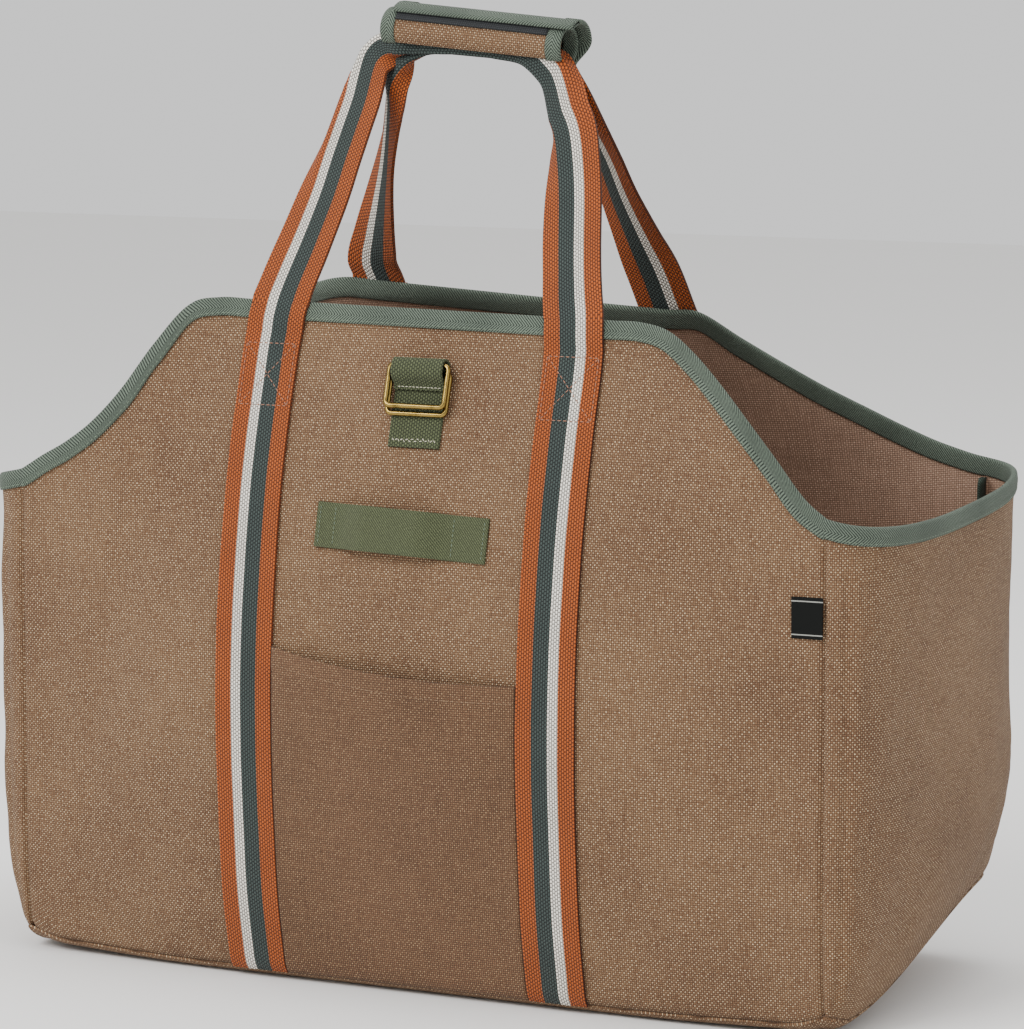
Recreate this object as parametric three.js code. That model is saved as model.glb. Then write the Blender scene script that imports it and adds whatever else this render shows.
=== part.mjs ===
// Canvas log carrier with two striped webbing handles, standing on its base.
// Millimetres, +Z up, +X to the right, the front faces -Y.
// The origin is the middle of the base, on the surface that the bag stands on.
import * as THREE from 'three';

// Clearance between neighbouring pieces, and thickness of each cloth
const GAP = 0.3;
const CANVAS = 1.6;
const TAPE = 1.0;
const WEBBING = 2.0;
const OLIVE = 1.6;

// Bag body
const SEAM_X = 267;
const END_BULGE = 36;
const CORNER_POWER = 0.76;
const HALF_DEPTH = 128;
const CENTRE_RIM = 406;
const END_RIM = 296;
const END_RIM_SAG = 5;
const FRONT_RIM_TILT = 0.015;
const BACK_RIM_TILT = 0.055;
const BASE_RADIUS = 14;
const BASE_LIP = 6;
const BINDING_WIDTH = 9;

// Handles
const STRAP_X = 100.5;
const STRAP_WIDTH = 38;
const STRAP_LEAVES = 13;
const GRIP_SHIFT = 8;
const GRIP_FORWARD = 40;
const GRIP_HEIGHT = 567;
const GRIP_TILT = 0.03;
const FOLD_WIDTH = 20;
const FOLD_THICKNESS = 5;

// Wrap over the grip
const WRAP_LENGTH = 128;
const WRAP_HALF_DEPTH = 12;
const WRAP_HALF_HEIGHT = 11;
const WRAP_BAND = 2;
const WRAP_BINDING = 3;
const WRAP_BINDING_WIDTH = 9;
const HOOK_TAPE = 1;

// Rings and their webbing
const RING_X = 4;
const RING_LOOP_TOP = 380;
const RING_LOOP_LENGTH = 53;
const RING_LOOP_WIDTH = 34;
const RING_FLAP_LENGTH = 16;
const RING_WIDTH = 42;
const RING_HEIGHT = 28;
const RING_WIRE = 3.2;
const RING_CORNER = 3;
const RING_DROP = 4;

// Tool loop, pocket, tag and inner seam bindings
const TOOL_LOOP_X = 1;
const TOOL_LOOP_HEIGHT = 279;
const TOOL_LOOP_TILT = 0.035;
const TOOL_LOOP_LENGTH = 114;
const TOOL_LOOP_WIDTH = 27;
const TOOL_LOOP_STAND_OFF = 6.5;
const TOOL_LOOP_LEFT_END = 12;
const TOOL_LOOP_RIGHT_END = 22;
const POCKET_TOP = 207;
const POCKET_SAG = 5;
const POCKET_DROP = 12;
const POCKET_GAPE = 8;
const TAG_WIDTH = 19;
const TAG_HEIGHT = 24;
const TAG_THICKNESS = 0.8;
const TAG_MIDDLE = 245;
const SEAM_BINDING_DEPTH = 10;
const SEAM_BINDING_THICKNESS = 2.4;

// Depth of the walls from the middle of the base as shares of HALF_DEPTH, at a share of
// CENTRE_RIM in height: front and back in the middle, and both at the corner seams.
const DEPTH_PROFILE = [
  { at: 0.00, front: 0.99, back: 0.98, seam: 0.97 },
  { at: 0.15, front: 1.08, back: 1.03, seam: 1.00 },
  { at: 0.40, front: 1.13, back: 1.03, seam: 1.00 },
  { at: 0.60, front: 1.09, back: 0.91, seam: 1.00 },
  { at: 0.80, front: 0.97, back: 0.61, seam: 0.99 },
  { at: 1.00, front: 0.78, back: 0.17, seam: 0.98 },
];

// Bulge of the ends as shares of END_BULGE, at a share of END_RIM in height.
const BULGE_PROFILE = [
  { at: 0.00, bulge: 0.36 },
  { at: 0.15, bulge: 0.76 },
  { at: 0.40, bulge: 1.00 },
  { at: 0.90, bulge: 1.01 },
  { at: 1.00, bulge: 1.08 },
];

// How far the rim has come down from CENTRE_RIM to END_RIM, as a share, at a share of the way from
// the inner edge of a strap to the corner seam.
const RIM_FALL = [
  { at: 0.00, frontLeft: 0.000, frontRight: 0.000, backLeft: 0.000, backRight: 0.000 },
  { at: 0.10, frontLeft: 0.000, frontRight: 0.000, backLeft: 0.000, backRight: 0.000 },
  { at: 0.21, frontLeft: 0.000, frontRight: 0.000, backLeft: 0.000, backRight: 0.000 },
  { at: 0.32, frontLeft: 0.000, frontRight: 0.000, backLeft: 0.040, backRight: 0.150 },
  { at: 0.42, frontLeft: 0.045, frontRight: 0.035, backLeft: 0.100, backRight: 0.300 },
  { at: 0.52, frontLeft: 0.250, frontRight: 0.140, backLeft: 0.250, backRight: 0.450 },
  { at: 0.62, frontLeft: 0.495, frontRight: 0.285, backLeft: 0.450, backRight: 0.585 },
  { at: 0.72, frontLeft: 0.675, frontRight: 0.460, backLeft: 0.640, backRight: 0.715 },
  { at: 0.82, frontLeft: 0.800, frontRight: 0.655, backLeft: 0.800, backRight: 0.830 },
  { at: 0.92, frontLeft: 0.900, frontRight: 0.870, backLeft: 0.920, backRight: 0.925 },
  { at: 1.00, frontLeft: 1.000, frontRight: 1.000, backLeft: 1.000, backRight: 1.000 },
];

// How far the soft bag is lifted at its four corners: the base off the surface, and the rim.
const CORNER_LIFTS = [
  { x: -1, y: -1, base: 4, rim: 0 },
  { x: 1, y: -1, base: 3, rim: 0 },
  { x: 1, y: 1, base: 54, rim: 10 },
  { x: -1, y: 1, base: 20, rim: 0 },
];
const LIFT_START_X = 150;
const LIFT_START_Y = 128;
const LIFT_FADE = 160;

// Rows of a wall between the bottom seam and the lower edge of the binding, as shares.
const WALL_ROWS = [0, 0.02, 0.06, 0.17, 0.32, 0.47, 0.61, 0.74, 0.87];

// Columns of the front and back outside the straps, as shares of the way to the seam.
const WALL_COLUMNS = [0.15, 0.3, 0.42, 0.54, 0.66, 0.78, 0.9];

// Columns of an end, as angles round its rounded outline.
const END_ANGLES = [0, 22, 44, 60, 72, 81, 87];

const clamp01 = (t) => Math.min(1, Math.max(0, t));
const smooth = (t) => clamp01(t) ** 2 * (3 - 2 * clamp01(t));
const ramp = (value, start, end) => smooth((value - start) / (end - start));
const radians = THREE.MathUtils.degToRad;
const strapInner = STRAP_X - STRAP_WIDTH / 2;
const strapOuter = STRAP_X + STRAP_WIDTH / 2;

// A column of a table at a share, on a smooth curve through its rows.
function tableValue(table, column, share) {
  const curve = (i) => table[Math.min(table.length - 1, Math.max(0, i))];
  const last = table.length - 2;
  const i = Math.min(last, Math.max(0, table.findIndex((row) => row.at > share) - 1));
  const index = share >= table[last + 1].at ? last : i;
  const [before, from, to, after] = [curve(index - 1), curve(index), curve(index + 1), curve(index + 2)];
  const span = to.at - from.at;
  const t = clamp01((share - from.at) / span);
  const slopeIn = (to[column] - before[column]) / (to.at - before.at) * span;
  const slopeOut = (after[column] - from[column]) / (after.at - from.at) * span;
  return from[column] * (2 * t ** 3 - 3 * t ** 2 + 1) + to[column] * (3 * t ** 2 - 2 * t ** 3)
    + slopeIn * (t ** 3 - 2 * t ** 2 + t) + slopeOut * (t ** 3 - t ** 2);
}

// How far the outline draws in where the wall rounds under to the base.
function tuck(z) {
  const rise = Math.max(0, BASE_RADIUS - z);
  return BASE_RADIUS - Math.sqrt(BASE_RADIUS ** 2 - rise ** 2);
}

function wallDepth(side, x, z) {
  const share = z / CENTRE_RIM;
  const centre = tableValue(DEPTH_PROFILE, side < 0 ? 'front' : 'back', share);
  const seam = tableValue(DEPTH_PROFILE, 'seam', share);
  const mix = ramp(Math.abs(x), strapOuter, SEAM_X);
  return HALF_DEPTH * (centre + (seam - centre) * mix) - tuck(z);
}

function rimHeight(side, x) {
  const upper = CENTRE_RIM - (side < 0 ? FRONT_RIM_TILT : BACK_RIM_TILT) * x;
  const share = clamp01((Math.abs(x) - strapInner) / (SEAM_X - strapInner));
  const fall = tableValue(RIM_FALL, (side < 0 ? 'front' : 'back') + (x < 0 ? 'Left' : 'Right'), share);
  return THREE.MathUtils.lerp(upper, END_RIM, fall);
}

function lifted(x, y, z) {
  const baseShare = 1 - smooth(z / LIFT_FADE);
  const rimShare = ramp(z, LIFT_FADE, END_RIM);
  const lift = CORNER_LIFTS.reduce((sum, corner) => sum
    + (corner.base * baseShare + corner.rim * rimShare)
    * ramp(x * corner.x, LIFT_START_X, SEAM_X + END_BULGE)
    * ramp(y * corner.y, -LIFT_START_Y, HALF_DEPTH), 0);
  return new THREE.Vector3(x, y, z + lift);
}

// A point on the outside of the front (side -1) or back (side 1).
function wallPoint(side, x, z) {
  return lifted(x, side * wallDepth(side, x, z), z);
}

// A point on the outside of the right (side 1) or left (side -1) end.
function endPoint(side, angle, z) {
  const across = Math.sign(angle) * Math.abs(Math.sin(radians(angle))) ** CORNER_POWER;
  const out = Math.max(0, Math.cos(radians(angle))) ** CORNER_POWER;
  const bulge = END_BULGE * tableValue(BULGE_PROFILE, 'bulge', z / END_RIM) - tuck(z);
  return lifted(side * (SEAM_X + bulge * out), across * wallDepth(1, SEAM_X, z), z);
}

function endRim(angle) {
  return END_RIM - END_RIM_SAG * Math.cos(radians(angle)) ** 2;
}

// The outward direction of a surface, from two steps along it.
function outward(point, u, z, stepU, away) {
  const alongU = point(u + stepU, z).sub(point(u - stepU, z));
  const alongZ = point(u, z + 0.5).sub(point(u, z - 0.5));
  const direction = alongU.cross(alongZ).normalize();
  return direction.dot(away) < 0 ? direction.negate() : direction;
}

function wallFrame(side, x, z) {
  const place = wallPoint(side, x, z);
  const away = new THREE.Vector3(0, side, 0);
  return { place, normal: outward((u, h) => wallPoint(side, u, h), x, z, 0.5, away) };
}

function endFrame(side, angle, z) {
  const place = endPoint(side, angle, z);
  const away = new THREE.Vector3(side * 0.3, Math.sign(angle) * 0.1, 0).normalize();
  const inside = Math.sign(angle) * Math.min(Math.abs(angle), 89);
  return { place, normal: outward((u, h) => endPoint(side, u, h), inside, z, 1, away) };
}

// Heights of the rows of a wall column, from the bottom seam to the rim.
function rowHeights(rim, slope) {
  const bottom = BASE_LIP + GAP;
  const binding = rim - BINDING_WIDTH * Math.hypot(1, slope);
  return [...WALL_ROWS.map((share) => bottom + share * (binding - bottom)), binding, rim];
}

function rimSlope(side, x) {
  return rimHeight(side, x + 0.5) - rimHeight(side, x - 0.5);
}

// Closed geometry from vertex positions and triangles, turned so that its faces point out.
function closedGeometry(points, triangles) {
  const volume = triangles.reduce((sum, [a, b, c]) => sum
    + points[a].dot(new THREE.Vector3().crossVectors(points[b], points[c])), 0);
  const facing = volume < 0 ? triangles.map(([a, b, c]) => [a, c, b]) : triangles;
  const geometry = new THREE.BufferGeometry();
  geometry.setAttribute('position', new THREE.Float32BufferAttribute(points.flatMap((p) => p.toArray()), 3));
  geometry.setIndex(facing.flat());
  geometry.computeVertexNormals();
  return geometry;
}

// The two triangles of a four-sided patch, split along its shorter diagonal.
function patch(points, a, b, c, d) {
  return points[a].distanceTo(points[c]) < points[b].distanceTo(points[d])
    ? [[a, b, c], [a, c, d]] : [[b, c, d], [b, d, a]];
}

// A sheet between two grids of points, given as rows of the same length.
function sheet(outer, inner) {
  const rows = outer.length;
  const columns = outer[0].length;
  const points = [...outer.flat(), ...inner.flat()];
  const at = (layer, row, column) => layer * rows * columns + row * columns + column;
  const triangles = [];
  const quad = (...corners) => triangles.push(...patch(points, ...corners));
  for (let r = 0; r < rows - 1; r += 1) {
    for (let c = 0; c < columns - 1; c += 1) {
      quad(at(0, r, c), at(0, r, c + 1), at(0, r + 1, c + 1), at(0, r + 1, c));
      quad(at(1, r, c), at(1, r + 1, c), at(1, r + 1, c + 1), at(1, r, c + 1));
    }
    quad(at(0, r, 0), at(0, r + 1, 0), at(1, r + 1, 0), at(1, r, 0));
    quad(at(0, r + 1, columns - 1), at(0, r, columns - 1), at(1, r, columns - 1), at(1, r + 1, columns - 1));
  }
  for (let c = 0; c < columns - 1; c += 1) {
    quad(at(0, 0, c + 1), at(0, 0, c), at(1, 0, c), at(1, 0, c + 1));
    quad(at(0, rows - 1, c), at(0, rows - 1, c + 1), at(1, rows - 1, c + 1), at(1, rows - 1, c));
  }
  return closedGeometry(points, triangles);
}

// A body swept through sections of the same number of points, closed on itself or capped.
function sweep(sections, loop) {
  const count = sections[0].length;
  const points = sections.flat();
  const triangles = [];
  const steps = loop ? sections.length : sections.length - 1;
  for (let s = 0; s < steps; s += 1) {
    const next = (s + 1) % sections.length;
    for (let i = 0; i < count; i += 1) {
      const j = (i + 1) % count;
      triangles.push(...patch(points, s * count + i, s * count + j, next * count + j, next * count + i));
    }
  }
  if (!loop) {
    const end = (sections.length - 1) * count;
    for (let i = 1; i < count - 1; i += 1) {
      triangles.push([0, i + 1, i], [end, end + i, end + i + 1]);
    }
  }
  return closedGeometry(points, triangles);
}

// A sheet whose outside is a surface and whose inside lies one thickness behind it.
function panel(frames, thickness) {
  const outer = frames.map((row) => row.map((frame) => frame.place));
  const inner = frames.map((row) => row.map((frame) => frame.place.clone()
    .addScaledVector(frame.normal, -thickness)));
  return sheet(outer, inner);
}

const rowCount = WALL_ROWS.length + 2;
const halfColumns = [0, strapInner - GAP, strapOuter + GAP,
  ...WALL_COLUMNS.map((share) => THREE.MathUtils.lerp(strapOuter, SEAM_X, share))];
const wallColumns = [SEAM_X - GAP, ...halfColumns.slice(1).reverse()].map((x) => -x)
  .concat(halfColumns, SEAM_X - GAP);
const endAngles = [90, ...END_ANGLES.slice(1).reverse()].map((angle) => -angle)
  .concat(END_ANGLES, 90);

function wallPanel(side) {
  const frames = [];
  for (let row = 0; row < rowCount; row += 1) {
    frames.push(wallColumns.map((x) => {
      const heights = rowHeights(rimHeight(side, x), rimSlope(side, x));
      return wallFrame(side, x, heights[row]);
    }));
  }
  return panel(frames, CANVAS);
}

function endPanel(side) {
  const frames = [];
  for (let row = 0; row < rowCount; row += 1) {
    frames.push(endAngles.map((angle) => endFrame(side, angle, rowHeights(endRim(angle), 0)[row])));
  }
  return panel(frames, CANVAS);
}

// Stations round the whole bag: front from left to right, right end, back, left end.
function aroundBag(wallStation, endStation) {
  const forward = wallColumns;
  const backward = [...wallColumns].reverse();
  return [
    ...forward.map((x) => wallStation(-1, x)),
    ...endAngles.slice(1, -1).map((angle) => endStation(1, angle)),
    ...backward.map((x) => wallStation(1, x)),
    ...[...endAngles].reverse().slice(1, -1).map((angle) => endStation(-1, angle)),
  ];
}

// The base is a tray: a turned up edge, the flat ground ring and rings drawn in to the middle.
function baseTray() {
  const edgeHeights = [BASE_LIP, BASE_LIP * 0.3, 0];
  const inwardShares = [0.72, 0.4];
  const ring = (z) => aroundBag((side, x) => wallFrame(side, x, z), (side, angle) => endFrame(side, angle, z));
  const up = new THREE.Vector3(0, 0, 1);
  const down = up.clone().negate();
  const rings = edgeHeights.map(ring);
  const ground = rings[rings.length - 1];
  ground.forEach((frame) => frame.normal.copy(down));
  inwardShares.forEach((share) => rings.push(ground.map(({ place }) => ({
    place: lifted(place.x * share, place.y * share, 0), normal: down }))));
  const columns = ground.length;
  const outer = rings.flat().map((frame) => frame.place);
  const inner = rings.flat().map((frame) => frame.place.clone().addScaledVector(frame.normal, -CANVAS));
  const points = [...outer, new THREE.Vector3(), ...inner, new THREE.Vector3(0, 0, CANVAS)];
  const middle = outer.length;
  const layer = outer.length + 1;
  const triangles = [];
  for (let c = 0; c < columns; c += 1) {
    const n = (c + 1) % columns;
    for (let r = 0; r < rings.length - 1; r += 1) {
      const [a, b, d, e] = [r * columns + c, r * columns + n, (r + 1) * columns + n, (r + 1) * columns + c];
      triangles.push(...patch(points, a, b, d, e));
      triangles.push(...patch(points, layer + a, layer + e, layer + d, layer + b));
    }
    const last = (rings.length - 1) * columns;
    triangles.push([last + c, last + n, middle], [layer + last + n, layer + last + c, layer + middle]);
    triangles.push([n, c, layer + c], [n, layer + c, layer + n]);
  }
  return closedGeometry(points, triangles);
}

// The tape is folded over the rim: a U of one thickness, outside, over the top and inside.
function rimBinding() {
  const section = (frameAt, rim, slope) => {
    const top = frameAt(rim);
    const low = frameAt(rim - BINDING_WIDTH * Math.hypot(1, slope));
    const along = top.place.clone().sub(low.place);
    const place = (frame, out, rise) => frame.place.clone().addScaledVector(frame.normal, out)
      .addScaledVector(along, rise / BINDING_WIDTH);
    const outer = GAP + TAPE;
    const inner = -CANVAS - GAP - TAPE;
    return [
      place(low, outer, 0), place(top, outer, outer), place(top, inner, outer), place(low, inner, 0),
      place(low, inner + TAPE, 0), place(top, inner + TAPE, GAP), place(top, GAP, GAP), place(low, GAP, 0),
    ];
  };
  return sweep(aroundBag(
    (side, x) => section((z) => wallFrame(side, x, z), rimHeight(side, x), rimSlope(side, x)),
    (side, angle) => section((z) => endFrame(side, angle, z), endRim(angle), 0),
  ), true);
}

// The bound seam allowance stands inwards from a corner seam.
function seamBinding(sideX, sideY) {
  const heights = rowHeights(END_RIM - 2 * TAPE - 2 * GAP, 0).slice(2, -1);
  const sections = heights.map((z) => {
    const { place } = wallFrame(sideY, sideX * SEAM_X, z);
    const root = place.y - sideY * (CANVAS + GAP + 0.4);
    const half = SEAM_BINDING_THICKNESS / 2;
    const corner = (dx, depth) => new THREE.Vector3(place.x + dx, root - sideY * depth, place.z);
    return [corner(-half, 0), corner(half, 0), corner(half, SEAM_BINDING_DEPTH), corner(-half, SEAM_BINDING_DEPTH)];
  });
  return sweep(sections, false);
}

// Stations of a handle between the rim and the middle of the grip: out as a share of the wrap's
// half length, width and thickness from folded lengthwise in the grip (0 and 1) to flat (1 and 0).
const LEG_STATIONS = [
  { out: 0.95, depth: 12, drop: 46, width: 0.40, thickness: 0.4 },
  { out: 0.92, depth: 6.5, drop: 30, width: 0.24, thickness: 0.7 },
  { out: 0.86, depth: 3.2, drop: 19, width: 0.06, thickness: 0.9 },
  { out: 0.74, depth: 2.8, drop: 10, width: 0, thickness: 1 },
  { out: 0.55, depth: 2.8, drop: 6.5, width: 0, thickness: 1 },
  { out: 0.20, depth: 2.8, drop: 5, width: 0, thickness: 1 },
];

// Steps of the straight leg between the rim and the first station above.
const LEG_SHARES = [0.12, 0.3, 0.5, 0.7, 0.88];

function gripPoint(x, y, z) {
  const tilted = new THREE.Vector3(x, y, z).applyAxisAngle(new THREE.Vector3(0, 1, 0), GRIP_TILT);
  return tilted.add(new THREE.Vector3(GRIP_SHIFT, -GRIP_FORWARD, GRIP_HEIGHT));
}

// One side of a handle: places of its centre line with the width and thickness there.
function handleSide(sideY, sideX) {
  const rows = rowHeights(rimHeight(sideY, sideX * STRAP_X), rimSlope(sideY, sideX * STRAP_X));
  const onBag = rows.map((z, row) => {
    const { place, normal } = wallFrame(sideY, sideX * STRAP_X, z);
    const overBinding = row >= rows.length - 2 ? 2 * GAP + TAPE : 0;
    const centre = place.addScaledVector(normal, GAP + overBinding + WEBBING / 2);
    return { centre, normal, width: STRAP_WIDTH, thickness: WEBBING };
  });
  const grip = LEG_STATIONS.map((station) => ({
    centre: gripPoint(sideX * station.out * WRAP_LENGTH / 2, sideY * station.depth, -station.drop),
    width: THREE.MathUtils.lerp(FOLD_WIDTH, STRAP_WIDTH, station.width),
    thickness: THREE.MathUtils.lerp(WEBBING, FOLD_THICKNESS, station.thickness),
  }));
  const [low, rim] = onBag.slice(-2).map((station) => station.centre);
  const onRim = onBag[onBag.length - 1];
  const foot = rim.clone().add(rim.clone().sub(low).setLength(STRAP_LEAVES)).addScaledVector(onRim.normal, 2 * GAP);
  onBag.push({ ...onRim, centre: foot });
  const leg = LEG_SHARES.map((share) => ({
    centre: foot.clone().lerp(grip[0].centre, share),
    width: THREE.MathUtils.lerp(STRAP_WIDTH, grip[0].width, share ** 1.5),
    thickness: THREE.MathUtils.lerp(WEBBING, grip[0].thickness, share ** 3),
  }));
  return [...onBag, ...leg, ...grip];
}

function handleWebbing(sideY) {
  const rightSide = handleSide(sideY, 1);
  const stations = [...handleSide(sideY, -1), ...rightSide.reverse()];
  const sections = stations.map((station, i) => {
    const ahead = stations[Math.min(stations.length - 1, i + 1)].centre;
    const behind = stations[Math.max(0, i - 1)].centre;
    const along = ahead.clone().sub(behind).normalize();
    const face = (station.normal ?? new THREE.Vector3(0, sideY, 0)).clone();
    face.addScaledVector(along, -face.dot(along)).normalize();
    const across = along.clone().cross(face);
    const corner = (w, t) => station.centre.clone().addScaledVector(across, w * station.width / 2)
      .addScaledVector(face, t * station.thickness / 2);
    return [corner(-1, -1), corner(1, -1), corner(1, 1), corner(-1, 1)];
  });
  return sweep(sections, false);
}

// The wrap's cross section is a band on a spiral: up the front, over the top, down the back,
// folded at the lower back and up again over the top as the flap. Angles are from +Y.
const WRAP_START = 225;
const WRAP_FOLD = -45;
const FLAP_END = 113;
const EDGE_BINDING_ANGLE = 30;
const HOOK_SHOWS = 24;
const LAYER_STEP = WRAP_BINDING + 4 * GAP;

const wrapOut = (angle) => new THREE.Vector2(Math.cos(radians(angle)), Math.sin(radians(angle)));

// A point of the section at an angle, so many millimetres outside the middle of the inner layer.
function wrapPoint(angle, out) {
  return wrapOut(angle).multiply(new THREE.Vector2(WRAP_HALF_DEPTH + out, WRAP_HALF_HEIGHT + out));
}

// A stretch of the middle line with the direction across it, outwards (side 1) or inwards (-1).
function wrapStretch(from, to, out, side) {
  const steps = Math.ceil(Math.abs(to - from) / 16);
  const line = [];
  for (let i = 0; i <= steps; i += 1) {
    const angle = THREE.MathUtils.lerp(from, to, i / steps);
    line.push({ point: wrapPoint(angle, out), across: wrapOut(angle).multiplyScalar(side) });
  }
  return line;
}

// The whole spiral, with its direction across turned to the inside of the fold.
function wrapLine() {
  const centre = wrapPoint(WRAP_FOLD, LAYER_STEP / 2);
  const fold = [45, 90, 135].map((turn) => {
    const across = wrapOut(WRAP_FOLD + turn);
    return { point: centre.clone().addScaledVector(across, -LAYER_STEP / 2), across };
  });
  return [
    ...wrapStretch(WRAP_START, WRAP_FOLD, 0, 1), ...fold,
    ...wrapStretch(WRAP_FOLD, FLAP_END, LAYER_STEP, -1),
  ];
}

// A line in the section plane with the direction across it, from its neighbours.
function withAcross(points) {
  return points.map((point, i) => {
    const along = points[Math.min(points.length - 1, i + 1)].clone().sub(points[Math.max(0, i - 1)]).normalize();
    return { point, across: new THREE.Vector2(-along.y, along.x) };
  });
}

// A closed band of one thickness along a line in the section plane.
function bandShape(line, thickness) {
  const edge = (side) => line.map(({ point, across }) => point.clone()
    .addScaledVector(across, side * thickness / 2));
  return new THREE.Shape([...edge(1), ...edge(-1).reverse()]);
}

// The shape extruded along X from start to end, with the section's first axis on Y.
function alongX(shape, start, end) {
  const geometry = new THREE.ExtrudeGeometry(shape, { depth: end - start, bevelEnabled: false });
  geometry.rotateX(Math.PI / 2);
  geometry.rotateZ(Math.PI / 2);
  return geometry.translate(start, 0, 0);
}

const canvasHalf = WRAP_LENGTH / 2 - WRAP_BINDING_WIDTH - GAP;

function wrapPieces() {
  const half = WRAP_LENGTH / 2;
  const line = wrapLine();
  const binding = bandShape(line, WRAP_BINDING);
  const edgeStart = FLAP_END + 2;
  const edgeEnd = edgeStart + EDGE_BINDING_ANGLE;
  const edge = bandShape(wrapStretch(edgeStart, edgeEnd, LAYER_STEP, 1), WRAP_BINDING);
  const hookOut = WRAP_BAND / 2 + GAP + HOOK_TAPE / 2;
  const hook = bandShape(wrapStretch(FLAP_END, edgeEnd + HOOK_SHOWS, hookOut, 1), HOOK_TAPE);
  return {
    canvas: alongX(bandShape(line, WRAP_BAND), -canvasHalf, canvasHalf),
    left: alongX(binding, -half, -canvasHalf - GAP),
    right: alongX(binding, canvasHalf + GAP, half),
    edge: alongX(edge, -half, half),
    hook: alongX(hook, -canvasHalf, canvasHalf),
  };
}

// A rounded rectangle of wire round its upper bar, which lies on the local X axis.
function ringGeometry() {
  const wide = RING_WIDTH / 2 - RING_WIRE / 2;
  const tall = RING_HEIGHT - RING_WIRE;
  const corners = [
    { x: wide, z: 0, from: 90 }, { x: wide, z: -tall, from: 0 },
    { x: -wide, z: -tall, from: -90 }, { x: -wide, z: 0, from: -180 },
  ];
  const sides = 8;
  const sections = [];
  corners.forEach(({ x, z, from }) => {
    const centreX = x - Math.sign(x) * RING_CORNER;
    const centreZ = z === 0 ? -RING_CORNER : z + RING_CORNER;
    for (let i = 0; i <= 3; i += 1) {
      const turn = radians(from - i * 30);
      const out = new THREE.Vector3(Math.cos(turn), 0, Math.sin(turn));
      const place = new THREE.Vector3(centreX, 0, centreZ).addScaledVector(out, RING_CORNER);
      const section = [];
      for (let k = 0; k < sides; k += 1) {
        const spin = radians(k * 360 / sides);
        section.push(place.clone().addScaledVector(out, Math.cos(spin) * RING_WIRE / 2)
          .add(new THREE.Vector3(0, Math.sin(spin) * RING_WIRE / 2, 0)));
      }
      sections.push(section);
    }
  });
  return sweep(sections, true);
}

// The ring webbing in its own plane: Y 0 is the bag's surface, the front is -Y, Z 0 is the fold's top.
const rearBarY = -(GAP + OLIVE + GAP + RING_WIRE / 2);
const frontBarY = rearBarY - RING_WIRE - GAP;
const frontBarZ = -(OLIVE + GAP + RING_WIRE / 2 + 1);
const flapY = frontBarY - RING_WIRE / 2 - GAP - OLIVE / 2;

function ringLoop() {
  const back = -GAP - OLIVE / 2;
  const topZ = -OLIVE / 2;
  const line = [
    new THREE.Vector2(back, -RING_LOOP_LENGTH),
    new THREE.Vector2(back, -RING_LOOP_LENGTH / 2),
    new THREE.Vector2(back, topZ - 3),
    new THREE.Vector2(back - 1.2, topZ - 0.8),
    new THREE.Vector2(back - 3.4, topZ),
    new THREE.Vector2(flapY + 3.4, topZ),
    new THREE.Vector2(flapY + 1.2, topZ - 0.8),
    new THREE.Vector2(flapY, topZ - 3),
    new THREE.Vector2(flapY, frontBarZ - RING_DROP - RING_WIRE / 2),
    new THREE.Vector2(back - OLIVE - GAP, -RING_FLAP_LENGTH),
    new THREE.Vector2(back - OLIVE - GAP, -RING_FLAP_LENGTH - 3),
  ];
  return alongX(bandShape(withAcross(line), OLIVE), -RING_LOOP_WIDTH / 2, RING_LOOP_WIDTH / 2);
}

// The tool loop in the plane of the bag's surface, flat at its ends and proud between them.
function toolLoop() {
  const half = TOOL_LOOP_LENGTH / 2;
  const flat = -GAP;
  const proud = -GAP - TOOL_LOOP_STAND_OFF;
  const left = -half + TOOL_LOOP_LEFT_END;
  const right = half - TOOL_LOOP_RIGHT_END;
  const steps = 10;
  const face = [new THREE.Vector2(-half, flat), new THREE.Vector2(left, flat)];
  for (let i = 1; i < steps; i += 1) {
    const share = i / steps;
    const rise = smooth(share / 0.3) * smooth((1 - share) / 0.3);
    face.push(new THREE.Vector2(THREE.MathUtils.lerp(left, right, share), flat + (proud - flat) * rise));
  }
  face.push(new THREE.Vector2(right, flat), new THREE.Vector2(half, flat));
  const front = face.map((point) => new THREE.Vector2(point.x, point.y - OLIVE)).reverse();
  const geometry = new THREE.ExtrudeGeometry(new THREE.Shape([...face, ...front]), {
    depth: TOOL_LOOP_WIDTH, bevelEnabled: false });
  return geometry.translate(0, 0, -TOOL_LOOP_WIDTH / 2);
}

// The pocket lies on the front between the straps, and its mouth stands a little open.
function pocketPanel() {
  const half = STRAP_X - STRAP_WIDTH / 2 - GAP;
  const rows = rowHeights(CENTRE_RIM, 0).filter((z) => z < POCKET_TOP - POCKET_SAG - POCKET_DROP);
  const shares = [-1, -0.8, -0.55, -0.28, 0, 0.28, 0.55, 0.8, 1];
  const frames = [...rows, POCKET_TOP].map((height) => shares.map((share) => {
    const mouth = POCKET_TOP - POCKET_SAG * (1 - share ** 2) - POCKET_DROP * (share + 1) / 2;
    const z = height === POCKET_TOP ? mouth : height;
    const { place, normal } = wallFrame(-1, share * half, z);
    const open = (1 - share ** 2) * smooth(z / POCKET_TOP) ** 2;
    return { place: place.addScaledVector(normal, GAP + CANVAS + POCKET_GAPE * open), normal };
  }));
  return panel(frames, CANVAS);
}

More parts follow.
